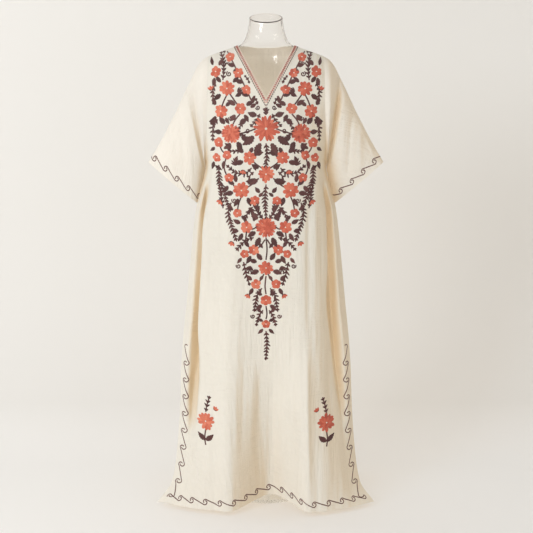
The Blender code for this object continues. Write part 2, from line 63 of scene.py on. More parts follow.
# Studio: a pale paper sweep that runs from the floor up a wall, an even sky, a large soft key light from the
# left, a weak fill, and two narrow lamps for the glints on the clear neck. The paper's back lets the light
# and the other views through.
def joined_nodes(name):
    """An empty material, with its node tree, shader and output."""
    material = bpy.data.materials.new(name)
    material.use_nodes = True
    tree = material.node_tree
    return material, tree, tree.nodes["Principled BSDF"], tree.nodes["Material Output"]


def add_node(tree, kind, inputs=(), **settings):
    """A node with its settings, and its inputs given as values or as sockets to link."""
    node = tree.nodes.new(kind)
    for name, value in settings.items():
        setattr(node, name, value)
    for name, value in dict(inputs).items():
        if isinstance(value, bpy.types.NodeSocket):
            tree.links.new(value, node.inputs[name])
        else:
            node.inputs[name].default_value = value
    return node


def mixed_colour(tree, share, first, second):
    """Two colours blended by a share."""
    mix = add_node(tree, "ShaderNodeMix", {"Factor": share, "A": first, "B": second}, data_type="RGBA")
    return mix.outputs["Result"]


def mesh_piece(name, points, faces, materials):
    mesh = bpy.data.meshes.new(name)
    mesh.from_pydata([tuple(map(float, point)) for point in points], [], faces)
    mesh.update()
    for material in materials:
        mesh.materials.append(material)
    obj = bpy.data.objects.new(name, mesh)
    scene.collection.objects.link(obj)
    return obj


PAPER_HALF_WIDTH = 5.0
PAPER_FRONT = -8.0
PAPER_BEND_START = 0.30
PAPER_BEND_RADIUS = 0.75
PAPER_TOP = 5.0
PAPER_BEND_STEPS = 24
# Painted light and shade: the one paper is tinted lighter on the floor and darker up the wall.
PAPER_FLOOR_LIT = (0.93, 0.93, 0.925, 1)
PAPER_WALL_SHADED = (0.850, 0.846, 0.830, 1)
PAPER_TINT_HEIGHT = 0.10
paper_profile = [(PAPER_FRONT, 0.0)]
for k in range(PAPER_BEND_STEPS + 1):
    turn = math.pi / 2 * k / PAPER_BEND_STEPS
    bend_y = PAPER_BEND_START + PAPER_BEND_RADIUS * math.sin(turn)
    paper_profile.append((bend_y, PAPER_BEND_RADIUS * (1 - math.cos(turn))))
paper_profile.append((PAPER_BEND_START + PAPER_BEND_RADIUS, PAPER_TOP))
paper_points = [(side * PAPER_HALF_WIDTH, y, z) for side in (-1, 1) for y, z in paper_profile]
paper_count = len(paper_profile)
paper_faces = [(k, k + paper_count, k + paper_count + 1, k + 1) for k in range(paper_count - 1)]
paper_material, tree, shader, output = joined_nodes("studio paper")
place = add_node(tree, "ShaderNodeTexCoord")
parts = add_node(tree, "ShaderNodeSeparateXYZ", {0: place.outputs["Object"]})
rise = {"Value": parts.outputs["Z"], "From Min": 0.0, "From Max": PAPER_TINT_HEIGHT}
height = add_node(tree, "ShaderNodeMapRange", rise)
# The painted light of the floor blends into the painted shade of the wall.
paper_lit_and_shaded = mixed_colour(tree, height.outputs[0], PAPER_FLOOR_LIT, PAPER_WALL_SHADED)
tree.links.new(paper_lit_and_shaded, shader.inputs["Base Color"])
shader.inputs["Roughness"].default_value = 0.9
shader.inputs["Specular IOR Level"].default_value = 0.1
clear = add_node(tree, "ShaderNodeBsdfTransparent")
facing = add_node(tree, "ShaderNodeNewGeometry")
two_sides = add_node(tree, "ShaderNodeMixShader", {0: facing.outputs["Backfacing"]})
tree.links.new(shader.outputs[0], two_sides.inputs[1])
tree.links.new(clear.outputs[0], two_sides.inputs[2])
tree.links.new(two_sides.outputs[0], output.inputs["Surface"])
paper = mesh_piece("studio_paper", paper_points, paper_faces, [paper_material])
paper.data.shade_smooth()

world = bpy.data.worlds.new("even sky")
scene.world = world
world.use_nodes = True
world.node_tree.nodes["Background"].inputs["Color"].default_value = (1.0, 0.965, 0.915, 1)
world.node_tree.nodes["Background"].inputs["Strength"].default_value = 0.66
LIGHT_COLUMNS = ("name", "place", "aim", "width", "depth", "watts", "colour")
LIGHTS = (
    ("key", (-3.2, -3.6, 2.4), (0.1, 0.0, 0.7), 1.8, 1.8, 102, (1.0, 0.99, 0.975)),
    ("fill", (2.6, -3.6, 1.2), (0.1, 0.0, 0.7), 2.6, 2.6, 9.5, (1.0, 0.91, 0.80)),
    ("left glint", (-0.89, -1.40, 2.14), (0.0, 0.0, 1.37), 0.05, 1.70, 26, (1.0, 1.0, 1.0)),
    ("right glint", (0.65, -1.59, 2.03), (0.0, 0.0, 1.37), 0.05, 1.50, 20, (1.0, 1.0, 1.0)),
)
for row in LIGHTS:
    light = dict(zip(LIGHT_COLUMNS, row))
    lamp = bpy.data.lights.new(light["name"], "AREA")
    lamp.shape = "RECTANGLE"
    lamp.size = light["width"]
    lamp.size_y = light["depth"]
    lamp.energy = light["watts"]
    lamp.color = light["colour"]
    holder = bpy.data.objects.new(light["name"], lamp)
    scene.collection.objects.link(holder)
    holder.visible_diffuse = "glint" not in light["name"]
    holder.location = light["place"]
    sight = Vector(light["aim"]) - Vector(light["place"])
    holder.rotation_euler = sight.to_track_quat("-Z", "Y").to_euler()
scene.view_settings.view_transform = "Standard"


# Front panel: one cut of crinkled cotton gauze with an open V at the neck, sewn to the back along the
# shoulders and the sides and slit below the hip. It hangs from the form's shoulders over the chest, and its
# hem waves up at the middle.
WALL = 0.0013
SEAM_GAP = 0.0003
CHEST_HEIGHT = 1.224
CHEST_EDGE_X = 0.1725
HEM_HEIGHT = 0.013
HEM_WAVE_START = 0.72
NECK_HALF_WIDTH = 0.082
ARMHOLE_BOTTOM = 1.018
SLIT_TOP = 0.505
SHOULDER_COLUMNS = ("x", "height")
SHOULDER_END = (0.1715, 1.343)
SHOULDER_CREST = (
    (0.000, 1.393),
    (0.045, 1.387),
    (0.082, 1.375),
    (0.120, 1.3625),
    (0.165, 1.346),
    SHOULDER_END,
)
FRONT_KNOTS = (-0.40, 0.0, 0.40, 0.70, 0.80, 0.90, 1.0)
FRONT_COLUMNS = (
    "height", "middle_y", "lobe_x", "lobe_y", "crest_x", "crest_y",
    "valley_x", "valley_y", "roll_x", "roll_y", "edge_x", "edge_y", "drift_x",
)
FRONT_SECTIONS = (
    (1.224, -0.106, 0.060, -0.102, 0.115, -0.093, 0.135, -0.087, 0.153, -0.081, CHEST_EDGE_X, -0.073, 0.000),
    (1.120, -0.135, 0.065, -0.131, 0.128, -0.106, 0.146, -0.095, 0.161, -0.084, 0.1760, -0.068, 0.000),
    (1.060, -0.136, 0.068, -0.132, 0.142, -0.102, 0.156, -0.090, 0.167, -0.072, 0.1780, -0.046, 0.000),
    (1.018, -0.135, 0.070, -0.131, 0.150, -0.099, 0.163, -0.079, 0.172, -0.054, 0.1795, -0.010, 0.000),
    (0.950, -0.136, 0.075, -0.134, 0.163, -0.094, 0.174, -0.057, 0.184, -0.060, 0.1960, -0.013, 0.000),
    (0.885, -0.138, 0.080, -0.137, 0.176, -0.089, 0.181, -0.046, 0.198, -0.062, 0.2110, -0.016, 0.000),
    (0.765, -0.143, 0.086, -0.145, 0.182, -0.088, 0.184, -0.041, 0.208, -0.062, 0.2250, -0.020, 0.000),
    (0.610, -0.147, 0.100, -0.153, 0.190, -0.092, 0.193, -0.042, 0.219, -0.064, 0.2400, -0.025, 0.000),
    (0.505, -0.147, 0.110, -0.161, 0.196, -0.097, 0.202, -0.047, 0.229, -0.067, 0.2510, -0.035, 0.002),
    (0.400, -0.144, 0.118, -0.173, 0.201, -0.108, 0.210, -0.062, 0.237, -0.075, 0.2580, -0.048, 0.005),
    (0.300, -0.140, 0.124, -0.188, 0.207, -0.128, 0.223, -0.087, 0.243, -0.088, 0.2610, -0.063, 0.008),
    (0.145, -0.135, 0.130, -0.212, 0.214, -0.167, 0.235, -0.136, 0.254, -0.118, 0.2720, -0.097, 0.013),
    (0.070, -0.136, 0.132, -0.224, 0.220, -0.186, 0.246, -0.161, 0.268, -0.141, 0.2850, -0.122, 0.015),
    (0.013, -0.138, 0.133, -0.233, 0.227, -0.203, 0.263, -0.183, 0.296, -0.163, 0.3270, -0.143, 0.016),
)
FRONT_HEM_RISE = (0.000, 0.022, 0.000, 0.001, 0.001, 0.002, 0.002)
FOLD_START_SHARE = 0.4
FOLD_EDGE_POWER = 6
FOLD_COLUMNS = ("top_x", "top_height", "bottom_x", "bottom_height", "half_width", "rise")
FRONT_FOLDS = (
    (0.108, 0.50, 0.114, 0.01, 0.032, 0.019),
    (0.138, 0.90, 0.146, 0.24, 0.019, -0.003),
    (0.166, 0.84, 0.170, 0.22, 0.018, 0.002),
    (-0.146, 0.86, -0.150, 0.26, 0.024, -0.008),
    (-0.100, 0.70, -0.104, 0.01, 0.034, 0.003),
    (0.004, 0.46, 0.022, 0.03, 0.028, -0.003),
    (-0.034, 0.50, -0.044, 0.03, 0.030, 0.004),
    (0.052, 0.40, 0.060, 0.02, 0.028, 0.005),
)

# Creases of the front, each along a line that bows to one side. A rise below zero is a trough.
CREASE_COLUMNS = ("start_x", "start_z", "end_x", "end_z", "bow", "half_width", "rise")
FRONT_CREASES = (
    (-0.012, 0.47, -0.022, 0.05, 0.004, 0.007, -0.0016),
    (-0.024, 0.43, -0.036, 0.10, -0.003, 0.006, -0.0012),
    (-0.036, 0.46, -0.050, 0.16, 0.002, 0.007, 0.0013),
    (0.006, 0.42, 0.002, 0.09, 0.003, 0.006, 0.0012),
    (0.018, 0.50, 0.022, 0.12, -0.002, 0.006, -0.0011),
    (0.034, 0.56, 0.040, 0.18, 0.002, 0.007, -0.0010),
    (0.078, 0.60, 0.088, 0.10, 0.003, 0.007, -0.0015),
    (0.092, 0.66, 0.104, 0.16, -0.003, 0.006, 0.0012),
    (0.128, 0.95, 0.126, 0.52, 0.003, 0.006, -0.0022),
    (0.146, 1.00, 0.146, 0.40, 0.002, 0.007, 0.0024),
    (0.163, 0.92, 0.168, 0.30, -0.002, 0.006, -0.0018),
    (0.191, 0.76, 0.197, 0.24, 0.002, 0.011, -0.0095),
    (-0.078, 0.68, -0.092, 0.22, 0.003, 0.007, 0.0013),
    (-0.064, 0.52, -0.076, 0.14, -0.002, 0.006, -0.0011),
    (-0.128, 0.90, -0.140, 0.48, 0.002, 0.006, -0.0014),
    (-0.165, 0.98, -0.176, 0.60, 0.002, 0.006, 0.0015),
    (-0.155, 0.36, -0.170, 0.10, 0.004, 0.008, 0.0016),
    (0.178, 0.40, 0.196, 0.06, 0.003, 0.008, 0.0016),
    (0.121, 0.54, 0.127, 0.02, 0.001, 0.007, 0.0038),
    (-0.181, 0.95, -0.196, 0.42, 0.000, 0.012, 0.0100),
    (-0.212, 0.43, -0.224, 0.22, 0.000, 0.011, -0.0070),
    (-0.190, 0.305, -0.030, 0.325, 0.006, 0.0045, 0.0008),
    (-0.185, 0.265, -0.080, 0.280, 0.004, 0.0045, -0.0008),
    (-0.192, 0.225, -0.045, 0.238, -0.004, 0.0045, 0.0008),
    (-0.180, 0.185, -0.070, 0.176, 0.004, 0.0050, -0.0009),
    (-0.175, 0.145, -0.020, 0.158, 0.005, 0.0045, 0.0008),
    (-0.010, 0.330, 0.102, 0.322, 0.004, 0.0045, 0.0009),
    (0.100, 0.168, 0.142, 0.166, 0.001, 0.0035, 0.0012),
    (0.020, 0.245, 0.120, 0.236, -0.004, 0.0045, -0.0008),
    (-0.150, 1.06, -0.100, 1.00, 0.004, 0.0070, -0.0012),
    (0.150, 1.07, 0.108, 0.99, -0.004, 0.0070, -0.0012),
)
CREASE_FADE = 0.25
RIPPLE_COLUMNS = ("across_pitch", "along_pitch", "phase", "height")
GAUZE_RIPPLES = (
    (0.0163, 0.41, 0.6, 0.00020),
    (0.0217, 0.29, 2.9, 0.00022),
    (0.0291, 0.53, 4.4, 0.00024),
)
RIPPLE_SWAY = 1.9
RIPPLE_SWELL_PITCH = 0.63
EDGE_FADE = 0.05
SEAM_FADE = 0.1
FRONT_HALF_STEPS = 92
SHOULDER_ROWS = 34
FRONT_BODY_ROWS = 168


def soft_curve(knots, values, place):
    """The values at places on a smooth curve through the knots that never swings past them."""
    knots = np.asarray(knots, float)
    values = np.asarray(values, float)
    if knots[0] > knots[-1]:
        knots = knots[::-1]
        values = values[::-1]
    runs = np.diff(knots)
    rises = (np.diff(values, axis=0).T / runs).T
    slopes = np.empty_like(values)
    slopes[0] = rises[0]
    slopes[-1] = rises[-1]
    product = rises[:-1] * rises[1:]
    total = rises[:-1] + rises[1:]
    slopes[1:-1] = np.where(product > 0, 2 * product / np.where(total == 0, 1, total), 0)
    place = np.clip(place, knots[0], knots[-1])
    k = np.clip(np.searchsorted(knots, place, "right") - 1, 0, len(runs) - 1)
    run = np.asarray(runs[k])
    t = (place - knots[k]) / run
    if values.ndim > 1:
        t = np.asarray(t)[..., None]
        run = run[..., None]
    return (
        (1 + 2 * t) * (1 - t) ** 2 * values[k]
        + t * (1 - t) ** 2 * run * slopes[k]
        + t * t * (3 - 2 * t) * values[k + 1]
        + t * t * (t - 1) * run * slopes[k + 1]
    )


def table_row(columns, rows, place):
    """The row of a table at any place of its first column, as a dictionary of its other columns."""
    rows = np.asarray(rows, float)
    return dict(zip(columns[1:], soft_curve(rows[:, 0], rows[:, 1:], place)))


def ease(value):
    value = np.clip(value, 0.0, 1.0)
    return value * value * (3 - 2 * value)


def crest_height(x):
    return soft_curve([row[0] for row in SHOULDER_CREST], [row[1] for row in SHOULDER_CREST], np.abs(x))


def shoulder_edge_x(height):
    share = (height - CHEST_HEIGHT) / (SHOULDER_END[1] - CHEST_HEIGHT)
    return CHEST_EDGE_X + (SHOULDER_END[0] - CHEST_EDGE_X) * share


def fold_push(folds, x, height):
    """How far the long folds push the cloth out at this place."""
    push = 0.0
    for row in folds:
        fold = dict(zip(FOLD_COLUMNS, row))
        along = (fold["top_height"] - height) / (fold["top_height"] - fold["bottom_height"])
        middle = fold["top_x"] + (fold["bottom_x"] - fold["top_x"]) * along
        across = (x - middle) / fold["half_width"]
        push = push + fold["rise"] * ease(along / FOLD_START_SHARE) * np.exp(-across * across)
    return push


def crease_push(creases, x, z):
    """How far the short creases push the cloth out at this place, each fading out at its ends."""
    push = np.zeros_like(x)
    for row in creases:
        crease = dict(zip(CREASE_COLUMNS, row))
        run_x = crease["end_x"] - crease["start_x"]
        run_z = crease["end_z"] - crease["start_z"]
        length = math.hypot(run_x, run_z)
        off_x = x - crease["start_x"]
        off_z = z - crease["start_z"]
        along = (off_x * run_x + off_z * run_z) / length**2
        across = (off_x * run_z - off_z * run_x) / length
        across = across - crease["bow"] * 4 * along * (1 - along)
        fade = ease(along / CREASE_FADE) * ease((1 - along) / CREASE_FADE)
        push += crease["rise"] * fade * np.exp(-((across / crease["half_width"]) ** 2))
    return push


def gauze_ripple(across, along):
    """The small uneven pleats that crinkled gauze keeps, running down the cloth."""
    push = np.zeros_like(across)
    for row in GAUZE_RIPPLES:
        ripple = dict(zip(RIPPLE_COLUMNS, row))
        sway = RIPPLE_SWAY * np.sin(2 * math.pi * along / ripple["along_pitch"] + ripple["phase"])
        swell = 2 * math.pi * along / (RIPPLE_SWELL_PITCH * ripple["along_pitch"]) + 2 * ripple["phase"]
        strength = 0.55 + 0.45 * np.sin(swell)
        push += ripple["height"] * strength * np.sin(2 * math.pi * across / ripple["across_pitch"] + sway)
    return push


def front_section(height, steps):
    """Half section of the front: x and y at each step from the middle, 0, to the side edge, 1."""
    row = table_row(FRONT_COLUMNS, FRONT_SECTIONS, height)
    points = [
        (-row["lobe_x"], row["lobe_y"]),
        (0.0, row["middle_y"]),
        (row["lobe_x"], row["lobe_y"]),
        (row["crest_x"], row["crest_y"]),
        (row["valley_x"], row["valley_y"]),
        (row["roll_x"], row["roll_y"]),
        (row["edge_x"], row["edge_y"]),
    ]
    x, y = soft_curve(FRONT_KNOTS, points, steps).T
    return x, y, row["drift_x"]


def front_line(side, steps, v):
    """Outer points of half the front in a row. v is -1 at the shoulder seam, 0 at the chest, 1 at the hem."""
    if v <= 0:
        x_chest, y_chest, _ = front_section(CHEST_HEIGHT, steps)
        angle = (1 + v) * math.pi / 2
        share = x_chest / CHEST_EDGE_X
        slope = math.cos(angle)
        crest = crest_height(NECK_HALF_WIDTH + share * (SHOULDER_END[0] - NECK_HALF_WIDTH))
        z = CHEST_HEIGHT + (crest - CHEST_HEIGHT) * slope
        neck = NECK_HALF_WIDTH * slope
        x = neck + share * (shoulder_edge_x(z) - neck)
        return np.stack((side * x, y_chest * math.sin(angle) - SEAM_GAP / 2, z), axis=-1)
    height = CHEST_HEIGHT - v * (CHEST_HEIGHT - HEM_HEIGHT)
    wave = ease((v - HEM_WAVE_START) / (1 - HEM_WAVE_START))
    z = height + soft_curve(FRONT_KNOTS, FRONT_HEM_RISE, steps) * wave
    x, y, drift = front_section(height, steps)
    x = side * x + drift * (1 - steps * steps)
    y = y - fold_push(FRONT_FOLDS, x, height) * (1 - steps**FOLD_EDGE_POWER)
    return np.stack((x, y - SEAM_GAP / 2, z), axis=-1)


def line_normals(lines):
    """Unit normals of a grid of points, from its neighbours along and across."""
    down = np.gradient(lines, axis=0)
    across = np.gradient(lines, axis=1)
    normals = np.cross(down, across)
    return normals / np.maximum(np.linalg.norm(normals, axis=-1, keepdims=True), 1e-12)


def run_lengths(lines, axis):
    """How far each point of a grid lies along its own line, measured over the cloth."""
    steps = np.linalg.norm(np.diff(lines, axis=axis), axis=-1)
    pad = [(0, 0), (0, 0)]
    pad[axis] = (1, 0)
    return np.cumsum(np.pad(steps, pad), axis=axis)


def panel_rows(shoulder_rows, body_rows):
    """v at each row of a panel."""
    return np.concatenate((np.linspace(-1, 0, shoulder_rows)[:-1], np.linspace(0, 1, body_rows)))


def raised(lines, push, steps, rows):
    """A panel's grid pushed out along its normals, less and less towards its seams."""
    edge = ease((1 - steps) / EDGE_FADE)[None, :] * ease((rows + 1) / SEAM_FADE)[:, None]
    return lines + line_normals(lines) * (push * edge)[..., None]


def join_halves(grids, first_row):
    """Makes a left and a right half meet in the same points from a row on."""
    left = grids[0][0][first_row:]
    right = grids[1][0][first_row:]
    meet = (left[:, -1] + right[:, 0]) / 2
    left[:, -1] = meet
    right[:, 0] = meet


SHARP_CLOTH_ANGLE = math.radians(60)
outer_walls = {}


def cloth_shell(name, grids, thickness, material):
    """A closed thin wall, and a tree of its outer side. Grids of outer points share those that coincide.

    The UV map gives each point its place on the flat cut, in metres.
    """
    points = []
    places = []
    index = {}
    quads = []
    for lines, flat in grids:
        numbers = np.zeros(lines.shape[:2], int)
        for row in range(lines.shape[0]):
            for column in range(lines.shape[1]):
                key = tuple(np.round(lines[row, column], 6))
                if key not in index:
                    index[key] = len(points)
                    points.append(lines[row, column])
                    places.append(flat[row, column])
                numbers[row, column] = index[key]
        upper = numbers[:-1]
        lower = numbers[1:]
        corners = np.stack((upper[:, :-1], lower[:, :-1], lower[:, 1:], upper[:, 1:]), -1)
        quads += corners.reshape(-1, 4).tolist()
    points = np.array(points)
    form = bmesh.new()
    for point in points:
        form.verts.new(point)
    form.verts.ensure_lookup_table()
    form.verts.index_update()
    for quad in quads:
        corners = list(dict.fromkeys(quad))
        if len(corners) > 2:
            form.faces.new([form.verts[k] for k in corners])
    form.normal_update()
    normals = np.array([tuple(vert.normal) for vert in form.verts])
    faces = [tuple(vert.index for vert in face.verts) for face in form.faces]
    ends = []
    for edge in form.edges:
        if edge.is_boundary:
            loop = edge.link_loops[0]
            ends.append((loop.vert.index, loop.link_loop_next.vert.index))
    form.free()
    tree = BVHTree.FromPolygons([tuple(point) for point in points], faces)
    outer_walls[name] = (points, normals, faces)
    count = len(points)
    inner = points - normals * thickness
    walls = [(b, a, a + count, b + count) for a, b in ends]
    backs = [tuple(k + count for k in reversed(face)) for face in faces]
    obj = mesh_piece(name, np.vstack((points, inner)), faces + backs + walls, [material])
    flat_map = obj.data.uv_layers.new(name="flat cut")
    corners = np.empty(len(obj.data.loops), int)
    obj.data.loops.foreach_get("vertex_index", corners)
    flat_map.data.foreach_set("uv", np.array(places)[corners % count].astype(np.float32).ravel())
    obj.data.shade_smooth()
    obj.data.set_sharp_from_angle(angle=SHARP_CLOTH_ANGLE)
    return obj, tree


def worked(tree, operation, first, second):
    """Two values worked into one."""
    return add_node(tree, "ShaderNodeMath", {0: first, 1: second}, operation=operation).outputs[0]


def stretched_noise(tree, place, scale, detail, **settings):
    """Noise with so many repeats a metre along each axis."""
    spot = add_node(tree, "ShaderNodeMapping", {"Vector": place, "Scale": scale})
    inputs = {"Vector": spot.outputs[0], "Scale": 1.0, "Detail": detail, **settings}
    return add_node(tree, "ShaderNodeTexNoise", inputs).outputs["Fac"]


def relief(tree, strength, distance, height):
    """Bump from a height."""
    inputs = {"Strength": strength, "Distance": distance, "Height": height}
    return add_node(tree, "ShaderNodeBump", inputs).outputs[0]


def gauze_group():
    """Crinkled cotton gauze: slub and shade in its colour, and the height of its pleats and threads."""
    group = bpy.data.node_groups.new("crinkled gauze", "ShaderNodeTree")
    for name, way, kind in (
        ("Cloth", "INPUT", "NodeSocketColor"),
        ("Shade", "INPUT", "NodeSocketColor"),
        ("Color", "OUTPUT", "NodeSocketColor"),
        ("Pleats", "OUTPUT", "NodeSocketFloat"),
        ("Threads", "OUTPUT", "NodeSocketFloat"),
    ):
        group.interface.new_socket(name, in_out=way, socket_type=kind)
    given = add_node(group, "NodeGroupInput")
    place = add_node(group, "ShaderNodeUVMap", uv_map="flat cut").outputs[0]

    def stretched(across, along, detail, distortion=0.0):
        settings = {"Roughness": 0.55, "Distortion": distortion}
        return stretched_noise(group, place, (across, along, 1), detail, **settings)

    pleats = stretched(170, 11, 3.0, 0.4)
    cross_pleats = stretched(9, 120, 2.0, 0.6)
    cloud = stretched(7, 5, 2.0)
    where = add_node(group, "ShaderNodeMapRange", {"Value": cloud, "From Min": 0.38, "From Max": 0.62})
    patches = worked(group, "MULTIPLY", cross_pleats, where.outputs[0])
    lengthwise = worked(group, "MULTIPLY", pleats, 0.7)
    mixed = worked(group, "ADD", lengthwise, worked(group, "MULTIPLY", patches, 0.75))
    weave = {"Vector": place, "Distortion": 1.2, "Detail": 1.0}
    warp = add_node(group, "ShaderNodeTexWave", {**weave, "Scale": 240.0})
    weft = add_node(group, "ShaderNodeTexWave", {**weave, "Scale": 230.0}, bands_direction="Y")
    threads = worked(group, "ADD", warp.outputs["Fac"], weft.outputs["Fac"])
    slub = stretched(60, 60, 3.0)
    share = worked(group, "MULTIPLY", worked(group, "ADD", slub, cloud), 0.5)
    tint = mixed_colour(group, share, given.outputs["Cloth"], given.outputs["Shade"])
    put = add_node(group, "NodeGroupOutput")
    group.links.new(tint, put.inputs["Color"])
    group.links.new(mixed, put.inputs["Pleats"])
    group.links.new(threads, put.inputs["Threads"])
    return group


GAUZE = gauze_group()
# Tan colour of the painted shade in hollows, on the side turned from the key light and inside the hem.
PAINTED_SHADE_COLOUR = (0.75, 0.56, 0.32, 1)
GLOW_COLOUR = (0.96, 0.89, 0.77, 1)
GLOW_SHARE = 0.20
THROUGH_COLOUR = (1.0, 0.965, 0.92)
THROUGH_SHADOW_SHARE = 0.92
GAUZE_DIFFUSE_SHARE = 0.68


def let_light_through(tree, surface, output, colour, shadow_share, diffuse_share):
    """The eye meets the surface itself, and a share of the light goes straight through it."""
    path = add_node(tree, "ShaderNodeLightPath")
    clear = add_node(tree, "ShaderNodeBsdfTransparent", {"Color": (*colour, 1)})
    seen = surface
    for ray, share in (("Is Shadow Ray", shadow_share), ("Is Diffuse Ray", diffuse_share)):
        part = add_node(tree, "ShaderNodeMixShader", {0: share})
        tree.links.new(surface, part.inputs[1])
        tree.links.new(clear.outputs[0], part.inputs[2])
        chosen = add_node(tree, "ShaderNodeMixShader", {0: path.outputs[ray]})
        tree.links.new(seen, chosen.inputs[1])
        tree.links.new(part.outputs[0], chosen.inputs[2])
        seen = chosen.outputs[0]
    tree.links.new(seen, output.inputs["Surface"])


def gauze_material(name, cloth, shade):
    """A panel's gauze: its two tints, with a tan painted shade, and pleats and threads as relief. Light shows
    warm through it.
    """
    material, tree, shader, output = joined_nodes(name)
    weave = add_node(tree, "ShaderNodeGroup", node_tree=GAUZE)
    weave.inputs["Cloth"].default_value = (*cloth, 1)
    weave.inputs["Shade"].default_value = (*shade, 1)
    pleats = relief(tree, 1.0, 0.0036, weave.outputs["Pleats"])
    fine = {"Strength": 0.35, "Distance": 0.0003, "Height": weave.outputs["Threads"], "Normal": pleats}
    threads = add_node(tree, "ShaderNodeBump", fine)
    # Painted shade: the hollow attribute mixes a tan into the cloth's colour.
    hollow = add_node(tree, "ShaderNodeAttribute", attribute_name="hollow")
    deep = mixed_colour(tree, hollow.outputs["Fac"], weave.outputs["Color"], PAINTED_SHADE_COLOUR)
    tree.links.new(deep, shader.inputs["Base Color"])
    tree.links.new(threads.outputs[0], shader.inputs["Normal"])
    shader.inputs["Roughness"].default_value = 0.88
    shader.inputs["Specular IOR Level"].default_value = 0.2
    shader.inputs["Sheen Weight"].default_value = 0.12
    shader.inputs["Sheen Roughness"].default_value = 0.5
    glow_inputs = {"Color": GLOW_COLOUR, "Normal": threads.outputs[0]}
    glow = add_node(tree, "ShaderNodeBsdfTranslucent", glow_inputs)
    cloth_and_glow = add_node(tree, "ShaderNodeMixShader", {0: GLOW_SHARE})
    tree.links.new(shader.outputs[0], cloth_and_glow.inputs[1])
    tree.links.new(glow.outputs[0], cloth_and_glow.inputs[2])
    both = cloth_and_glow.outputs[0]
    let_light_through(tree, both, output, THROUGH_COLOUR, THROUGH_SHADOW_SHARE, GAUZE_DIFFUSE_SHARE)
    return material


def front_grids():
    """Both halves of the front as rows of creased outer points, and their places on the flat cut."""
    steps = np.linspace(0, 1, FRONT_HALF_STEPS)
    rows = panel_rows(SHOULDER_ROWS, FRONT_BODY_ROWS)
    grids = []
    for side, order in ((-1, slice(None, None, -1)), (1, slice(None))):
        lines = np.array([front_line(side, steps[order], v) for v in rows])
        push = crease_push(FRONT_CREASES, lines[..., 0], lines[..., 2])
        push += gauze_ripple(lines[..., 0], lines[..., 2])
        lines = raised(lines, push, steps[order], rows)
        across = run_lengths(lines, 1)
        middle = across[:, -1:] if side < 0 else across[:, :1]
        opening = NECK_HALF_WIDTH * np.maximum(-np.sin(rows * math.pi / 2), 0)
        across = across - middle + side * opening[:, None]
        along = np.broadcast_to(-run_lengths(lines, 0)[:, lines.shape[1] // 2, None], across.shape)
        grids.append((lines, np.stack((across, along), -1)))
    join_halves(grids, SHOULDER_ROWS - 1)
    return grids


# The same gauze is tinted per panel: the front's tints are painted darker, a painted shade for how bright the
# key light makes it.
front_gauze = gauze_material("front gauze", (0.870, 0.865, 0.820), (0.79, 0.775, 0.715))
front_lines = front_grids()
front, front_tree = cloth_shell("kaftan_front", front_lines, WALL, front_gauze)
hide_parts("front_panel")
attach(front, "root")


# Back panel: cut like the front, with a shallow scooped neck. It has no embroidered yoke, because the
# photograph hides it.
BACK_NECK_DEPTH = 0.055
BACK_KNOTS = (-0.40, 0.0, 0.40, 0.62, 0.82, 1.0)
BACK_COLUMNS = (
    "height", "middle_y", "lobe_x", "lobe_y", "dip_x", "dip_y", "crest_x", "crest_y", "edge_x", "edge_y",
)
BACK_SECTIONS = (
    (1.224, 0.102, 0.0825, 0.101, 0.115, 0.096, 0.147, 0.087, CHEST_EDGE_X, 0.073),
    (1.120, 0.102, 0.0830, 0.106, 0.120, 0.098, 0.151, 0.088, 0.1760, 0.068),
    (1.060, 0.098, 0.0840, 0.106, 0.124, 0.096, 0.155, 0.080, 0.1780, 0.045),
    (1.018, 0.095, 0.0850, 0.106, 0.127, 0.094, 0.158, 0.070, 0.1795, -0.010),
    (0.950, 0.092, 0.0870, 0.107, 0.131, 0.091, 0.166, 0.062, 0.1960, -0.013),
    (0.885, 0.091, 0.0890, 0.109, 0.136, 0.090, 0.175, 0.060, 0.2110, -0.016),
    (0.765, 0.094, 0.0920, 0.115, 0.143, 0.090, 0.187, 0.060, 0.2250, -0.020),
    (0.610, 0.097, 0.0960, 0.123, 0.151, 0.091, 0.199, 0.062, 0.2400, -0.025),
    (0.505, 0.098, 0.1000, 0.131, 0.157, 0.092, 0.207, 0.064, 0.2510, -0.035),
    (0.400, 0.103, 0.1040, 0.146, 0.163, 0.100, 0.213, 0.068, 0.2500, -0.026),
    (0.300, 0.110, 0.1090, 0.160, 0.169, 0.108, 0.219, 0.076, 0.2520, -0.018),
    (0.145, 0.124, 0.1160, 0.184, 0.178, 0.124, 0.230, 0.090, 0.2630, -0.004),
    (0.070, 0.131, 0.1200, 0.194, 0.184, 0.132, 0.240, 0.097, 0.2750, 0.001),
    (0.013, 0.136, 0.1230, 0.202, 0.190, 0.138, 0.252, 0.102, 0.2970, 0.004),
)
BACK_HEM_RISE = (0.000, 0.004, 0.000, 0.003, 0.001, 0.002)
BACK_FOLDS = (
    (-0.060, 1.05, -0.072, 0.10, 0.026, 0.008),
    (-0.020, 0.92, -0.030, 0.05, 0.026, -0.009),
    (0.034, 0.98, 0.048, 0.02, 0.026, 0.008),
    (-0.146, 0.80, -0.176, 0.02, 0.024, -0.006),
    (0.150, 0.88, 0.182, 0.02, 0.024, -0.007),
)
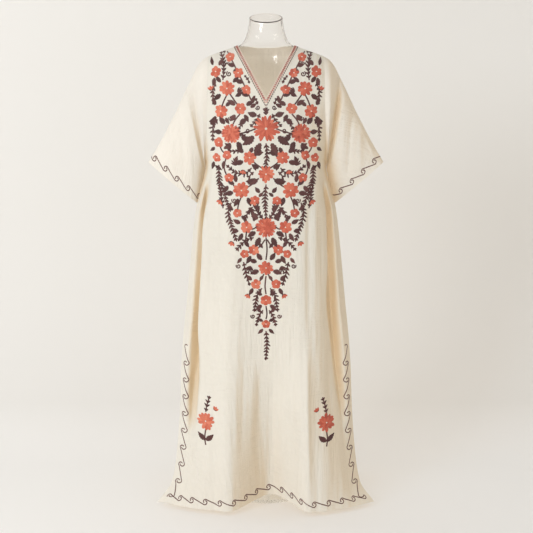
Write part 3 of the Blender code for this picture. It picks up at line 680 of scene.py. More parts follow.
BACK_CREASES = (
    (-0.030, 0.90, -0.044, 0.30, 0.004, 0.007, -0.0015),
    (-0.046, 0.80, -0.062, 0.20, -0.003, 0.006, 0.0013),
    (0.006, 0.86, 0.010, 0.12, 0.003, 0.007, 0.0012),
    (0.058, 0.92, 0.074, 0.34, -0.003, 0.007, -0.0014),
    (0.094, 1.00, 0.112, 0.40, 0.004, 0.007, 0.0013),
    (0.128, 0.90, 0.140, 0.16, -0.003, 0.006, -0.0016),
    (-0.100, 0.96, -0.120, 0.30, 0.003, 0.007, 0.0014),
    (-0.134, 1.02, -0.150, 0.50, -0.003, 0.006, -0.0013),
    (0.160, 0.70, 0.182, 0.14, 0.003, 0.007, 0.0015),
    (-0.168, 0.60, -0.196, 0.12, 0.003, 0.007, -0.0014),
    (-0.140, 1.14, -0.040, 1.10, 0.006, 0.007, -0.0012),
    (0.140, 1.16, 0.050, 1.11, -0.006, 0.007, -0.0012),
    (-0.120, 0.330, 0.040, 0.345, 0.005, 0.0045, 0.0008),
    (-0.020, 0.225, 0.150, 0.215, -0.004, 0.0045, -0.0008),
    (-0.150, 0.160, -0.030, 0.150, 0.004, 0.0045, 0.0008),
)
BACK_HALF_STEPS = 76
BACK_SHOULDER_ROWS = 30
BACK_BODY_ROWS = 150
BACK_RIPPLE_SHIFT = 0.007


def back_section(height, steps):
    """Half section of the back: x and y at each step from the middle, 0, to the side edge, 1."""
    row = table_row(BACK_COLUMNS, BACK_SECTIONS, height)
    edge = (row["edge_x"], row["edge_y"])
    if SLIT_TOP <= height <= ARMHOLE_BOTTOM:
        x, y, _ = front_section(height, np.array((1.0,)))
        edge = (x[0], y[0])
    points = [
        (-row["lobe_x"], row["lobe_y"]),
        (0.0, row["middle_y"]),
        (row["lobe_x"], row["lobe_y"]),
        (row["dip_x"], row["dip_y"]),
        (row["crest_x"], row["crest_y"]),
        edge,
    ]
    return soft_curve(BACK_KNOTS, points, steps).T


def back_line(side, steps, v):
    """Outer points of half the back. v is -1 at the neck and shoulders, 0 at the chest, 1 at the hem."""
    if v <= 0:
        x_chest, y_chest = back_section(CHEST_HEIGHT, steps)
        share = x_chest / CHEST_EDGE_X
        x_crest = share * SHOULDER_END[0]
        neck = BACK_NECK_DEPTH * np.sqrt(np.maximum(0.0, 1 - (x_crest / NECK_HALF_WIDTH) ** 2))
        start = np.arcsin(neck / y_chest)
        angle = start + (1 + v) * (math.pi / 2 - start)
        z = CHEST_HEIGHT + (crest_height(x_crest) - CHEST_HEIGHT) * np.cos(angle)
        x = side * share * shoulder_edge_x(z)
        return np.stack((x, y_chest * np.sin(angle) + SEAM_GAP / 2, z), axis=-1)
    height = CHEST_HEIGHT - v * (CHEST_HEIGHT - HEM_HEIGHT)
    wave = ease((v - HEM_WAVE_START) / (1 - HEM_WAVE_START))
    z = height + soft_curve(BACK_KNOTS, BACK_HEM_RISE, steps) * wave
    x, y = back_section(height, steps)
    y = y + fold_push(BACK_FOLDS, side * x, height) * (1 - steps**FOLD_EDGE_POWER)
    return np.stack((side * x, y + SEAM_GAP / 2, z), axis=-1)


def back_grid():
    """The back as rows of outer points from its right side to its left, and their places on the flat cut."""
    steps = np.linspace(0, 1, BACK_HALF_STEPS)
    rows = panel_rows(BACK_SHOULDER_ROWS, BACK_BODY_ROWS)
    both = np.concatenate((steps[::-1], steps[1:]))
    lines = np.array(
        [np.concatenate((back_line(1, steps[::-1], v), back_line(-1, steps[1:], v))) for v in rows]
    )
    push = crease_push(BACK_CREASES, lines[..., 0], lines[..., 2])
    push += gauze_ripple(lines[..., 0] + BACK_RIPPLE_SHIFT, lines[..., 2])
    lines = raised(lines, push, both, rows)
    across = run_lengths(lines, 1)
    across = across - across[:, BACK_HALF_STEPS - 1][:, None]
    along = np.broadcast_to(-run_lengths(lines, 0)[:, BACK_HALF_STEPS - 1, None], across.shape)
    return lines, np.stack((across, along), -1)


# The back's tints are painted lighter than the front's: painted light for its inside, seen through the V.
back_gauze = gauze_material("back gauze", (0.965, 0.94, 0.875), (0.92, 0.88, 0.80))
back_lines = back_grid()
back, _ = cloth_shell("kaftan_back", [back_lines], WALL, back_gauze)
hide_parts("back_panel")
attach(back, "root")


# Sleeves: wide half sleeves, each a tube of the same gauze set into a low armhole. With no arm in them they
# fall in, with one deep fold from the top of the armhole down to the under seam.
SLEEVE_COLUMNS = (
    "station", "top_x", "top_z", "seam_x", "seam_z", "seam_y", "front_depth", "back_depth", "armhole_share",
)
SLEEVE_SECTIONS = (
    (0.00, 0.1718, 1.3430, 0.1800, 1.0195, -0.010, 0.073, 0.073, 1.00),
    (0.06, 0.1860, 1.3350, 0.1818, 1.0175, -0.009, 0.072, 0.070, 0.85),
    (0.12, 0.2030, 1.3150, 0.1808, 1.0150, -0.007, 0.060, 0.062, 0.45),
    (0.185, 0.2161, 1.2894, 0.1810, 1.0107, -0.006, 0.053, 0.052, 0.08),
    (0.21, 0.2205, 1.2800, 0.1812, 1.0085, -0.005, 0.042, 0.043, 0.00),
    (0.26, 0.2292, 1.2626, 0.1824, 1.0025, -0.004, 0.045, 0.047, 0.00),
    (0.32, 0.2395, 1.2420, 0.1845, 0.9940, -0.002, 0.052, 0.050, 0.00),
    (0.50, 0.2710, 1.1760, 0.1902, 0.9680, 0.001, 0.050, 0.050, 0.00),
    (0.75, 0.3130, 1.0960, 0.1988, 0.9350, 0.003, 0.039, 0.040, 0.00),
    (1.00, 0.3520, 1.0300, 0.2075, 0.9060, 0.004, 0.024, 0.026, 0.00),
)
SLEEVE_CREASES = (
    (0.262, 1.205, 0.246, 0.960, 0.006, 0.008, -0.0022),
    (0.285, 1.165, 0.282, 0.985, 0.004, 0.008, 0.0018),
    (0.235, 1.180, 0.222, 0.960, 0.003, 0.006, 0.0014),
    (0.262, 1.180, 0.330, 1.035, 0.001, 0.004, 0.0012),
    (0.232, 1.040, 0.300, 1.010, 0.004, 0.005, -0.0009),
    (0.215, 1.010, 0.285, 0.975, -0.004, 0.005, 0.0009),
)
RIGHT_FOLD_DEPTH = 0.012
RIGHT_FOLD_STATION = 0.21
RIGHT_FOLD_WIDTH = 0.035
SLEEVE_RING_STEPS = 110
SLEEVE_STATIONS = 92
STATION_CROWDING = 0.85
SLEEVE_SEAM_FADE = 0.12
SLEEVE_RIPPLE_SHIFT = 0.1
SIDE_EDGE = np.array((1.0,))


def armhole_y(section, z):
    """Depth of a panel's edge at this height of the armhole."""
    if z < CHEST_HEIGHT:
        return float(section(z, SIDE_EDGE)[1][0])
    share = (z - CHEST_HEIGHT) / (SHOULDER_END[1] - CHEST_HEIGHT)
    return float(section(CHEST_HEIGHT, SIDE_EDGE)[1][0]) * math.sqrt(max(0.0, 1 - share * share))


def armhole_edge_x(z):
    if z > CHEST_HEIGHT:
        return shoulder_edge_x(z)
    return float(front_section(z, SIDE_EDGE)[0][0])


def sleeve_grid(side):
    """A sleeve as a ring of outer points at each station from the armhole to the cuff.

    The angle runs from the top fold round by the front and the under seam.
    """
    angles = np.linspace(0, 2 * math.pi, SLEEVE_RING_STEPS + 1)
    down = (1 - np.cos(angles)) / 2
    reach = np.sin(angles)
    hole = table_row(SLEEVE_COLUMNS, SLEEVE_SECTIONS, 0)
    z_hole = hole["top_z"] + (hole["seam_z"] - hole["top_z"]) * down
    sections = [front_section if r > 0 else back_section for r in reach]
    y_hole = np.array([armhole_y(part, max(z, ARMHOLE_BOTTOM)) for part, z in zip(sections, z_hole)])
    x_hole = np.array([armhole_edge_x(z) for z in z_hole]) + SEAM_GAP
    stations = np.linspace(0, 1, SLEEVE_STATIONS) ** STATION_CROWDING
    lines = []
    for station in stations:
        row = table_row(SLEEVE_COLUMNS, SLEEVE_SECTIONS, station)
        if side > 0:
            off_fold = (station - RIGHT_FOLD_STATION) / RIGHT_FOLD_WIDTH
            row["front_depth"] = row["front_depth"] - RIGHT_FOLD_DEPTH * math.exp(-off_fold * off_fold)
        x = row["top_x"] + (row["seam_x"] - row["top_x"]) * down
        z = row["top_z"] + (row["seam_z"] - row["top_z"]) * down
        y = row["seam_y"] * down - reach * np.where(reach > 0, row["front_depth"], row["back_depth"])
        y = y + (y_hole - y) * row["armhole_share"]
        if station == 0:
            x = x_hole
        lines.append(np.stack((side * x, y, z), -1))
    lines = np.array(lines)
    if side > 0:
        lines = lines[:, ::-1]
    push = crease_push(SLEEVE_CREASES, np.abs(lines[..., 0]), lines[..., 2])
    across = run_lengths(lines, 1)
    along = run_lengths(lines, 0)
    push += gauze_ripple(across, along + SLEEVE_RIPPLE_SHIFT)
    edge = ease(stations / SLEEVE_SEAM_FADE)[:, None] * np.ones(len(angles))[None, :]
    normals = line_normals(lines)
    ends = normals[:, 0] + normals[:, -1]
    normals[:, 0] = normals[:, -1] = ends / np.linalg.norm(ends, axis=-1, keepdims=True)
    push[:, 0] = push[:, -1] = (push[:, 0] + push[:, -1]) / 2
    lines = lines + normals * (push * edge)[..., None]
    lines[:, -1] = lines[:, 0]
    return lines, np.stack((across, -along), -1)


sleeves = {}
# Each sleeve's tints differ from the front's and from each other's: painted light and shade for how bright
# each sleeve looks.
for name, side, slot, cloth, shade in (
    ("left", -1, "left_sleeve_gauze", (0.935, 0.92, 0.875), (0.875, 0.85, 0.79)),
    ("right", 1, "right_sleeve_gauze", (0.94, 0.92, 0.87), (0.87, 0.84, 0.77)),
):
    lines, flat = sleeve_grid(side)
    sleeve_gauze = gauze_material(name + " sleeve gauze", cloth, shade)
    sleeve, _ = cloth_shell("kaftan_sleeve_" + name, [(lines, flat)], WALL, sleeve_gauze)
    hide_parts("sleeve_" + name)
    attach(sleeve, "root")
    sleeves[name] = (sleeve, lines)


# Painted shade of the cloths: light that comes through the gauze is warm, so hollows, the side turned from
# the key light and the inside near the hem are painted with a tan shade, kept on the pieces as an attribute.
PAINTED_SHADE_STRENGTH = {
    "kaftan_front": 0.85,
    "kaftan_back": 0.60,
    "kaftan_sleeve_left": 0.16,
    "kaftan_sleeve_right": 0.74,
}
HOLLOW_REACH = 0.075
HOLLOW_RAYS = 8
HOLLOW_LIMIT = 0.8
SMOOTHING_PASSES = 6
RAY_START = 0.002
RAY_OUT = 0.64
RAY_ASIDE = 0.77
LEE_PAINTED_SHADE = 0.46
LEE_START = 0.20
LEE_RANGE = 0.55
PAINTED_SHADE_LIMIT = 0.85
INSIDE_SHARE = 0.25
INSIDE_HEM_PAINTED_SHADE = 0.85
INSIDE_HEM_TOP = 0.26


def paint_shade_in_hollows(pieces):
    """Gives each point its painted shade. A point lies in a hollow where rays from it soon meet cloth."""
    points = np.vstack([outer_walls[piece.name][0] for piece in pieces])
    faces = []
    first = 0
    for piece in pieces:
        faces += [tuple(k + first for k in face) for face in outer_walls[piece.name][2]]
        first += len(outer_walls[piece.name][0])
    tree = BVHTree.FromPolygons([tuple(point) for point in points], faces)
    for piece in pieces:
        places, normals, own_faces = outer_walls[piece.name]
        side = np.cross(normals, (0.0, 0.0, 1.0))
        side /= np.maximum(np.linalg.norm(side, axis=1, keepdims=True), 1e-6)
        up = np.cross(side, normals)
        found = np.zeros(len(places))
        for turn in np.linspace(0, 2 * math.pi, HOLLOW_RAYS + 1)[:-1]:
            lines = normals * RAY_OUT + (side * math.cos(turn) + up * math.sin(turn)) * RAY_ASIDE
            for k, (place, line) in enumerate(zip(places + normals * RAY_START, lines)):
                _, _, _, distance = tree.ray_cast(Vector(place), Vector(line), HOLLOW_REACH)
                if distance is not None:
                    found[k] += (1 - distance / HOLLOW_REACH) / 4
        links = np.array([(face[j], face[j - 1]) for face in own_faces for j in range(len(face))])
        shared = np.bincount(links.ravel(), minlength=len(places))
        for _ in range(SMOOTHING_PASSES):
            total = np.bincount(links[:, 0], found[links[:, 1]], len(places))
            total += np.bincount(links[:, 1], found[links[:, 0]], len(places))
            found = total / np.maximum(shared, 1)
        strength = PAINTED_SHADE_STRENGTH[piece.name]
        # Painted shade on the side that faces away from the key light.
        painted_lee_shade = LEE_PAINTED_SHADE * ease((normals[:, 0] - LEE_START) / LEE_RANGE)
        outside = np.clip(np.clip(strength * found, 0, HOLLOW_LIMIT * strength) + painted_lee_shade, 0, PAINTED_SHADE_LIMIT)
        # Painted shade on the inside near the hem.
        near_hem = ease((INSIDE_HEM_TOP - places[:, 2]) / INSIDE_HEM_TOP)
        inside = np.maximum(INSIDE_SHARE * outside, INSIDE_HEM_PAINTED_SHADE * near_hem)
        kept = piece.data.attributes.new("hollow", "FLOAT", "POINT")
        kept.data.foreach_set("value", np.concatenate((outside, inside)).astype(np.float32))


paint_shade_in_hollows([front, back, sleeves["left"][0], sleeves["right"][0]])


# Embroidery: padded satin stitch in coral and dark brown cotton, with white knots. It fills the yoke beside
# the V and narrows to a point below the waist, and a daisy stands near each slit. Every petal and leaf is
# sewn by itself, on a chart of 3 mm squares counted from the middle and down from just under the V.
CHART_SQUARE = 0.003
CHART_TOP = 1.206
CHART_DISTANCE = 1.0
CLOTH_DISTANCE = 0.88
THREAD_LEAST = 0.00012
# A painted highlight along each stitch's crown and a painted shade at its edges, where it meets the cloth.
CROWN_PAINTED_HIGHLIGHT = 0.06
EDGE_PAINTED_SHADE = -0.30
SATIN_SECTION = ((-1.0, -0.0004, 0), (-0.66, 0.72, 1), (0.0, 1.0, 1), (0.66, 0.72, 1), (1.0, -0.0004, 0))
stitches = {}


def chart_place(flat):
    """Points and normals on the front, straight behind the chart's squares."""
    points = []
    normals = []
    for across, down in flat:
        start = Vector((across * CHART_SQUARE, -CHART_DISTANCE, CHART_TOP - down * CHART_SQUARE))
        spot, normal, _, _ = front_tree.ray_cast(start, Vector((0, 1, 0)))
        if spot is None:
            spot, normal, _, _ = front_tree.find_nearest(start + Vector((0, CLOTH_DISTANCE, 0)))
        points.append(spot)
        normals.append(normal)
    return np.array(points), np.array(normals)


def satin(colour, place, spine, half_widths, lift, tone, unit=CHART_SQUARE):
    """One padded run of stitches along a spine. half_widths are in the spine's units, and lift in metres."""
    spine = np.asarray(spine, float)
    half_widths = np.maximum(np.asarray(half_widths, float), THREAD_LEAST / unit)
    tangents = np.gradient(spine, axis=0)
    tangents /= np.maximum(np.linalg.norm(tangents, axis=1, keepdims=True), 1e-9)
    sideways = np.stack((-tangents[:, 1], tangents[:, 0]), -1)
    kept = stitches.setdefault(colour, {"points": [], "faces": [], "uvs": [], "dye_and_shade": []})
    first = len(kept["points"])
    count = len(spine)
    rings = []
    steps = np.linalg.norm(np.diff(spine, axis=0), axis=1)
    lengths = np.concatenate(([0], np.cumsum(steps))) * unit
    for share, height, raised in SATIN_SECTION:
        points, normals = place(spine + sideways * (half_widths * share)[:, None])
        rings.append(points + normals * (height * lift if raised else height))
    rings = np.array(rings)
    around = len(SATIN_SECTION)
    for k in range(count):
        for j, (share, _, _) in enumerate(SATIN_SECTION):
            kept["points"].append(rings[j, k])
            kept["uvs"].append((half_widths[k] * share * unit, lengths[k]))
            # Each petal's dye, with the painted highlight on its crown and the painted shade at its edges.
            kept["dye_and_shade"].append(tone + (CROWN_PAINTED_HIGHLIGHT if abs(share) < 1 else EDGE_PAINTED_SHADE))
    for k in range(count - 1):
        for j in range(around):
            a = first + k * around + j
            b = first + k * around + (j + 1) % around
            kept["faces"].append((a, b, b + around, a + around))
    kept["faces"].append(tuple(first + j for j in reversed(range(around))))
    kept["faces"].append(tuple(first + (count - 1) * around + j for j in range(around)))


PETAL_SHARES = (0.0, 0.14, 0.34, 0.58, 0.78, 0.92, 1.0)
PETAL_SHAPES = {
    "round": (0.45, 0.66, 0.90, 1.0, 0.90, 0.62, 0.14),
    "long": (0.55, 0.72, 0.90, 1.0, 0.92, 0.66, 0.14),
    "heart": (0.30, 0.60, 0.95, 1.0, 0.76, 0.44, 0.08),
}
COLOUR_STEP = np.random.default_rng(9)


def stroke(colour, start, angle, length, half_width, shape, lift, tone, bend=0.0):
    """A petal or leaf from its root, at an angle in degrees from straight up, bowed aside by bend."""
    widths = np.asarray(shape, float) * half_width
    count = len(widths)
    shares = np.linspace(0, 1, count) if count != len(PETAL_SHARES) else np.asarray(PETAL_SHARES)
    turn = math.radians(angle)
    middle = np.asarray(start, float) + length / 2 * np.array((math.sin(turn), -math.cos(turn)))
    side = np.array((math.cos(turn), math.sin(turn)))
    run = np.array((math.sin(turn), -math.cos(turn)))
    spine = middle + np.outer((shares - 0.5) * length, run) + np.outer(bend * 4 * shares * (1 - shares), side)
    satin(colour, chart_place, spine, widths, lift, tone)


def knot(x, y, size=0.75):
    """A white French knot."""
    spine = [(x - size, y), (x - size * 0.6, y), (x, y), (x + size * 0.6, y), (x + size, y)]
    satin("white", chart_place, spine, np.array((0.1, 0.8, 1.0, 0.8, 0.1)) * size, 0.0016, 0.5)


def flower(x, y, radius, petals, shape="round", turn=0, tone=0.5):
    """Petals set round a point, with a second short row on a large flower, and a knot."""
    rows = ((1.0, petals, 0.0011, turn), (0.56, max(5, petals - 4), 0.0017, turn + 14))
    for reach, count, lift, start in rows[: 2 if radius > 7 else 1]:
        wide = reach * radius * math.pi / count * 0.86
        for k in range(count):
            angle = start + 360 * k / count + 4 * COLOUR_STEP.standard_normal()
            run = np.array((math.sin(math.radians(angle)), -math.cos(math.radians(angle))))
            length = reach * radius * (1 + 0.07 * COLOUR_STEP.standard_normal())
            root = np.array((x, y)) + 0.1 * radius * run
            dye = tone + 0.13 * COLOUR_STEP.standard_normal()
            stroke("coral", root, angle, length * 0.9, wide, PETAL_SHAPES[shape], lift, dye)
    knot(x, y)


def bud(x, y, angle, size, tone=0.5):
    """A flower seen from its side: three petals fanned from a brown cup."""
    for lean in (-38, 38, 0):
        stroke("coral", (x, y), angle + lean, size, size * 0.30, PETAL_SHAPES["heart"], 0.0011, tone)
    for lean in (-60, 60):
        stroke("brown", (x, y), angle + lean, size * 0.55, size * 0.15, SMOOTH_LEAF, 0.0013, brown_tone())


# Rows of a dahlia's petals: inner and outer radius, petals, lift, turn
DAHLIA_ROWS = (
    (0.62, 1.0, 22, 0.0009, 0),
    (0.40, 0.80, 17, 0.0013, 9),
    (0.20, 0.58, 12, 0.0017, 3),
    (0.0, 0.34, 7, 0.0021, 11),
)
DAHLIA_PETAL = (0.55, 0.8, 1.0, 0.8, 0.2)


def dahlia(x, y, radius, tone=0.45):
    """A full round flower of four rows of short petals."""
    for inner, outer, petals, lift, row_turn in DAHLIA_ROWS:
        wide = math.pi * outer * radius / petals * 1.05
        for k in range(petals):
            angle = math.radians(row_turn + 360 * k / petals + 3 * COLOUR_STEP.standard_normal())
            reach = 1 + 0.03 * COLOUR_STEP.standard_normal()
            line = np.linspace(inner, outer * reach, 5)[:, None] * radius
            spine = np.array((x, y)) + line * np.array((math.sin(angle), -math.cos(angle)))
            dye = tone + 0.15 * COLOUR_STEP.standard_normal()
            satin("coral", chart_place, spine, np.array(DAHLIA_PETAL) * wide, lift, dye)
    knot(x + 0.8, y - 0.3)


LEAF_PROFILE = (0.10, 0.62, 0.60, 0.98, 0.84, 1.10, 0.86, 0.98, 0.66, 0.66, 0.36, 0.30, 0.03)
SMOOTH_LEAF = (0.12, 0.55, 0.90, 1.0, 0.86, 0.52, 0.05)
LEAFLET = (0.35, 0.80, 1.0, 0.85, 0.15)


def brown_tone():
    return 0.45 + 0.16 * COLOUR_STEP.standard_normal()


def leaf(x, y, angle, length, half_width, bend=0.0):
    """A leaf from its root, toothed where it is broad."""
    profile = LEAF_PROFILE if half_width > 1.8 else SMOOTH_LEAF
    stroke("brown", (x, y), angle, length, half_width, profile, 0.0009, brown_tone(), bend)


def curve_points(points, count):
    """A smooth line through a few chart points."""
    points = np.asarray(points, float)
    knots = np.concatenate(([0], np.cumsum(np.linalg.norm(np.diff(points, axis=0), axis=1))))
    fit = np.linspace(0, knots[-1], count)
    smooth = soft_curve(knots, points, fit)
    smooth[1:-1] = (smooth[:-2] + 2 * smooth[1:-1] + smooth[2:]) / 4
    return smooth


def stem(points, half_width=0.82):
    length = np.linalg.norm(np.diff(np.asarray(points, float), axis=0), axis=1).sum()
    line = curve_points(points, max(4, int(length / 2.2) + 2))
    satin("brown", chart_place, line, np.full(len(line), half_width), 0.0007, brown_tone())
    return line


def sprig(points, leaflet, spread=40, half_width=1.0):
    """A fern: a stem with pairs of narrow leaflets that point towards its end, and one on its tip."""
    line = stem(points, 0.75)
    length = np.linalg.norm(np.diff(line, axis=0), axis=1).sum()
    for share in np.linspace(0.06, 1.0, max(3, round(length / 3.2))):
        k = share * (len(line) - 1)
        low = min(int(k), len(line) - 2)
        spot = line[low] + (line[low + 1] - line[low]) * (k - low)
        run = line[low + 1] - line[max(low - 1, 0)]
        heading = math.degrees(math.atan2(run[0], -run[1]))
        size = leaflet * (1.0 - 0.28 * abs(2 * share - 0.8)) * (1 + 0.08 * COLOUR_STEP.standard_normal())
        for side in (-1, 1):
            angle = heading + side * (spread + 5 * COLOUR_STEP.standard_normal())
            stroke("brown", spot, angle, size, half_width, LEAFLET, 0.0008, brown_tone(), bend=-0.35 * side)
    stroke("brown", line[-1], heading, leaflet * 0.8, half_width, LEAFLET, 0.0008, brown_tone())


def curl(x, y, radius, start, turns, half_width=0.66, way=1):
    """A tendril wound in from its outer end."""
    count = int(14 * turns) + 3
    angles = np.radians(start) + way * np.linspace(0, 2 * math.pi * turns, count)
    sizes = radius * np.linspace(1, 0.18, count)
    line = np.stack((x + sizes * np.sin(angles), y - sizes * np.cos(angles)), -1)
    satin("brown", chart_place, line, np.full(count, half_width), 0.0007, brown_tone())


# The right half; the left half is its mirror image. Flowers: across, down, radius, petals, shape, turn
FLOWERS = (
    (19, -15, 4.6, 5, "round", 0), (27, -31, 4.8, 6, "round", 20), (35, -46, 4.4, 5, "round", 10),
    (38, -16, 7.4, 10, "long", 0), (49, -32, 5.2, 6, "round", 0), (25, 3, 5.6, 6, "round", 30),
    (44, 6, 6.4, 8, "long", 10), (46, 36, 5.0, 5, "round", 0), (38, 48, 4.6, 5, "round", 36),
    (48, 51, 4.2, 5, "round", 12), (16, 50, 6.4, 8, "long", 0), (36, 70, 4.6, 5, "round", 0),
    (24, 82, 7.8, 9, "long", 20), (11, 92, 4.8, 6, "round", 0), (28, 104, 4.6, 5, "round", 20),
    (19, 118, 6.2, 7, "long", 0), (12, 140, 5.2, 6, "round", 0), (21, 144, 4.2, 5, "round", 20),
    (10, 174, 4.8, 5, "round", 0),
)
# Leaves: across, down, angle from straight up, length, half width, bend
LEAVES = (
    (17, -9, 62, 9, 2.4, 0.5), (22, -22, 72, 9, 2.6, 0.5), (30, -38, 78, 8, 2.4, 0.4),
    (15, 2, -60, 7, 2.2, 0.3), (44, -10, 130, 9, 2.8, -0.4), (44, -22, 38, 8, 2.4, 0.3),
    (32, -22, -48, 8, 2.2, 0.2), (46, -38, -40, 8, 2.4, 0.3), (50, -26, 165, 8, 2.4, 0.2),
    (52, -38, 12, 8, 2.0, 0.2), (19, 0, -66, 8, 2.6, 0.6), (30, 0, 58, 9, 2.8, -0.4),
    (30, 9, 140, 8, 2.8, 0.4), (21, 9, -150, 8, 2.4, 0.3), (39, 1, -52, 7, 2.2, 0.3),
    (49, 0, 24, 8, 2.4, 0.2), (49, 11, 150, 9, 2.8, 0.4), (39, 12, -150, 7, 2.2, -0.4),
    (9, 9, 74, 9, 3.2, 0.7), (12, 29, 128, 14, 4.2, 0.9), (5, 36, 158, 15, 3.8, -0.8),
    (25, 18, -52, 9, 3.0, 0.6), (40, 18, 36, 9, 3.0, 0.4), (43, 26, 84, 8, 2.8, 0.3),
    (28, 35, -156, 9, 3.2, 0.6), (35, 36, 172, 9, 2.8, -0.4), (50, 41, 130, 6, 2.0, 0.2),
    (41, 42, -60, 6, 1.9, 0.2), (41, 54, 170, 8, 2.2, 0.2), (51, 55, 165, 8, 2.2, 0.2),
    (9, 47, -70, 7, 2.4, 0.4), (22, 45, 44, 9, 3.0, 0.4), (22, 54, 110, 9, 3.0, -0.5),
    (12, 57, -160, 6, 2.2, 0.2), (7, 60, 62, 8, 2.8, 0.4), (8, 72, 112, 10, 3.4, -0.4),
    (17, 76, -50, 9, 3.0, 0.5), (29, 74, 8, 9, 2.6, 0.3), (32, 84, 100, 9, 3.0, 0.4),
    (18, 89, 200, 9, 2.8, 0.3), (27, 90, 150, 9, 2.6, 0.3), (7, 88, -50, 6, 1.9, 0.2),
    (32, 101, 62, 7, 2.2, 0.2), (24, 107, -130, 7, 2.2, 0.2), (8, 110, 40, 10, 3.4, 0.5),
    (10, 123, 118, 9, 3.0, -0.5), (6, 128, 152, 11, 3.2, 0.4), (25, 114, 62, 8, 2.6, 0.3),
    (23, 124, 150, 9, 2.6, 0.3), (4, 150, 34, 9, 2.8, 0.4), (7, 161, 110, 9, 3.0, -0.4),
    (17, 137, 28, 7, 2.2, 0.3), (15, 146, 150, 9, 2.6, 0.3), (24, 148, 140, 7, 2.0, 0.2),
    (6, 170, -40, 6, 1.9, 0.2), (14, 170, 42, 7, 2.2, 0.2), (13, 178, 150, 8, 2.4, 0.3),
    (4, 185, 48, 7, 2.2, 0.3), (4, 195, 130, 8, 2.6, -0.3), (3, 211, 62, 6, 1.9, 0.2),
    (3, 219, 132, 7, 2.0, 0.2), (24, -12, 120, 7, 2.4, 0.3), (31, -30, -20, 6, 2.0, 0.2),
    (40, -50, 40, 7, 2.2, 0.2), (13, -2, -10, 7, 2.2, 0.2), (19, 34, 30, 9, 3.0, 0.4),
    (13, 40, 150, 7, 2.4, 0.3), (30, 55, -20, 7, 2.2, 0.2), (44, 62, 60, 7, 2.2, 0.2),
    (6, 84, 40, 7, 2.4, 0.3), (6, 100, 60, 8, 2.6, 0.3), (31, 76, 60, 8, 2.6, 0.3),
    (37, 78, 140, 8, 2.6, 0.3), (27, 122, 70, 7, 2.4, 0.2), (12, 112, -20, 6, 2.0, 0.2),
    (7, 134, -140, 6, 2.0, 0.2), (9, 152, 70, 8, 2.6, 0.3), (5, 202, 40, 6, 2.0, 0.2),
    (50, 18, 70, 6, 2.0, 0.2), (34, 40, 60, 7, 2.4, 0.3),
)
# Ferns: chart points of the stem, and the length of a leaflet
FERNS = (
    (((8, -1), (9, -4), (11, -7)), 3.2), (((16, -21), (17, -24), (19.5, -27)), 2.8),
    (((42, -24), (41, -34), (42, -44), (45, -52)), 4.4), (((49, -22), (52, -12), (51, -3)), 4.4),
    (((17, 11), (22, 15), (25, 20)), 4.4), (((47, 14), (52, 22), (52, 32)), 4.6),
    (((23, 40), (29, 44), (33, 44)), 4.2), (((14, 60), (21, 66), (29, 65), (36, 60)), 4.8),
    (((46, 58), (46, 70), (42, 82), (38, 94)), 5.4), (((34, 94), (37, 104), (34, 116), (30, 128)), 5.4),
    (((13, 98), (18, 104), (20, 110)), 4.4), (((12, 128), (20, 131), (27, 138)), 4.8),
    (((22, 152), (20, 162), (17, 172)), 4.8), (((4, 178), (9, 186), (11, 198)), 4.8),
    (((6, 8), (9, 14), (13, 18)), 4.2), (((3, 110), (7, 104), (8, 96)), 4.2),
    (((30, 20), (26, 26), (20, 30)), 4.0), (((42, 100), (44, 88), (46, 76)), 4.0),
    (((12, 64), (16, 68), (17, 72)), 4.0), (((3, 200), (7, 206), (9, 213)), 4.2),
)
# Single stems: chart points
STEMS = (
    ((14, -4), (19, -15), (27, -31), (35, -46), (39, -53)), ((25, 3), (31, -5), (36, -12)),
    ((25, 8), (30, 14), (33, 20)), ((44, 4), (41, -4), (38, -10)), ((10, 22), (18, 25), (26, 27)),
    ((4, 60), (10, 56), (16, 50)), ((7, 70), (15, 77), (22, 81)), ((38, 48), (41, 60), (37, 70), (31, 78)),
    ((46, 36), (43, 44), (38, 48)), ((4, 108), (10, 100), (11, 92)), ((8, 116), (13, 120), (19, 118)),
    ((24, 88), (27, 96), (28, 104)), ((1, 130), (6, 137), (12, 140), (21, 144)),
    ((2, 164), (6, 171), (10, 174)), ((19, 122), (20, 132), (16, 138)),
)
# Brushes of five fingers, tendrils and buds: across, down, angle, size
BRUSH_LEANS = (-44, -22, 0, 22, 44)
CURL_TURNS = 1.3
BRUSHES = (
    (28, -13, -70, 7), (51, 13, 172, 8), (29, 58, 20, 8), (15, 99, 190, 8), (15, 156, 160, 8),
    (6, 48, 30, 8),
)
CURLS = (
    (18, 24, 100, 2.4), (8, 2, 100, 2.2), (36, -30, 30, 2.6), (34, 12, 80, 2.4), (31, 92, 60, 2.6),
    (27, 156, 60, 2.4), (13, 206, 60, 2.2),
)
BUDS = (
    (53, -14, 20, 4.6), (44, 92, 150, 5.0), (33, 132, 160, 4.8), (22, 62, 170, 4.6), (17, 184, 150, 4.4),
)
# The right half's flowers and buds are painted darker and the left half's lighter: painted shade on the half
# turned from the key light.
for side in (1, -1):
    for across, down, radius, petals, shape, turn in FLOWERS:
        flower(side * across, down, radius, petals, shape, side * turn, 0.52 - 0.07 * side)
    dahlia(side * 34, 27, 9.4, 0.46 - 0.06 * side)
    for across, down, angle, length, half_width, bend in LEAVES:
        leaf(side * across, down, side * angle, length, half_width, side * bend)
    for points, length in FERNS:
        sprig([(side * across, down) for across, down in points], length)
    for points in STEMS:
        stem([(side * across, down) for across, down in points])
    for across, down, angle, size in BRUSHES:
        for lean in BRUSH_LEANS:
            leaf(side * across, down, side * angle + lean, size * (1 - abs(lean) / 160), 0.9)
    for across, down, angle, size in CURLS:
        curl(side * across, down, size, side * angle, CURL_TURNS, way=side)
    for across, down, angle, size in BUDS:
        bud(side * across, down, side * angle, size, 0.52 - 0.07 * side)

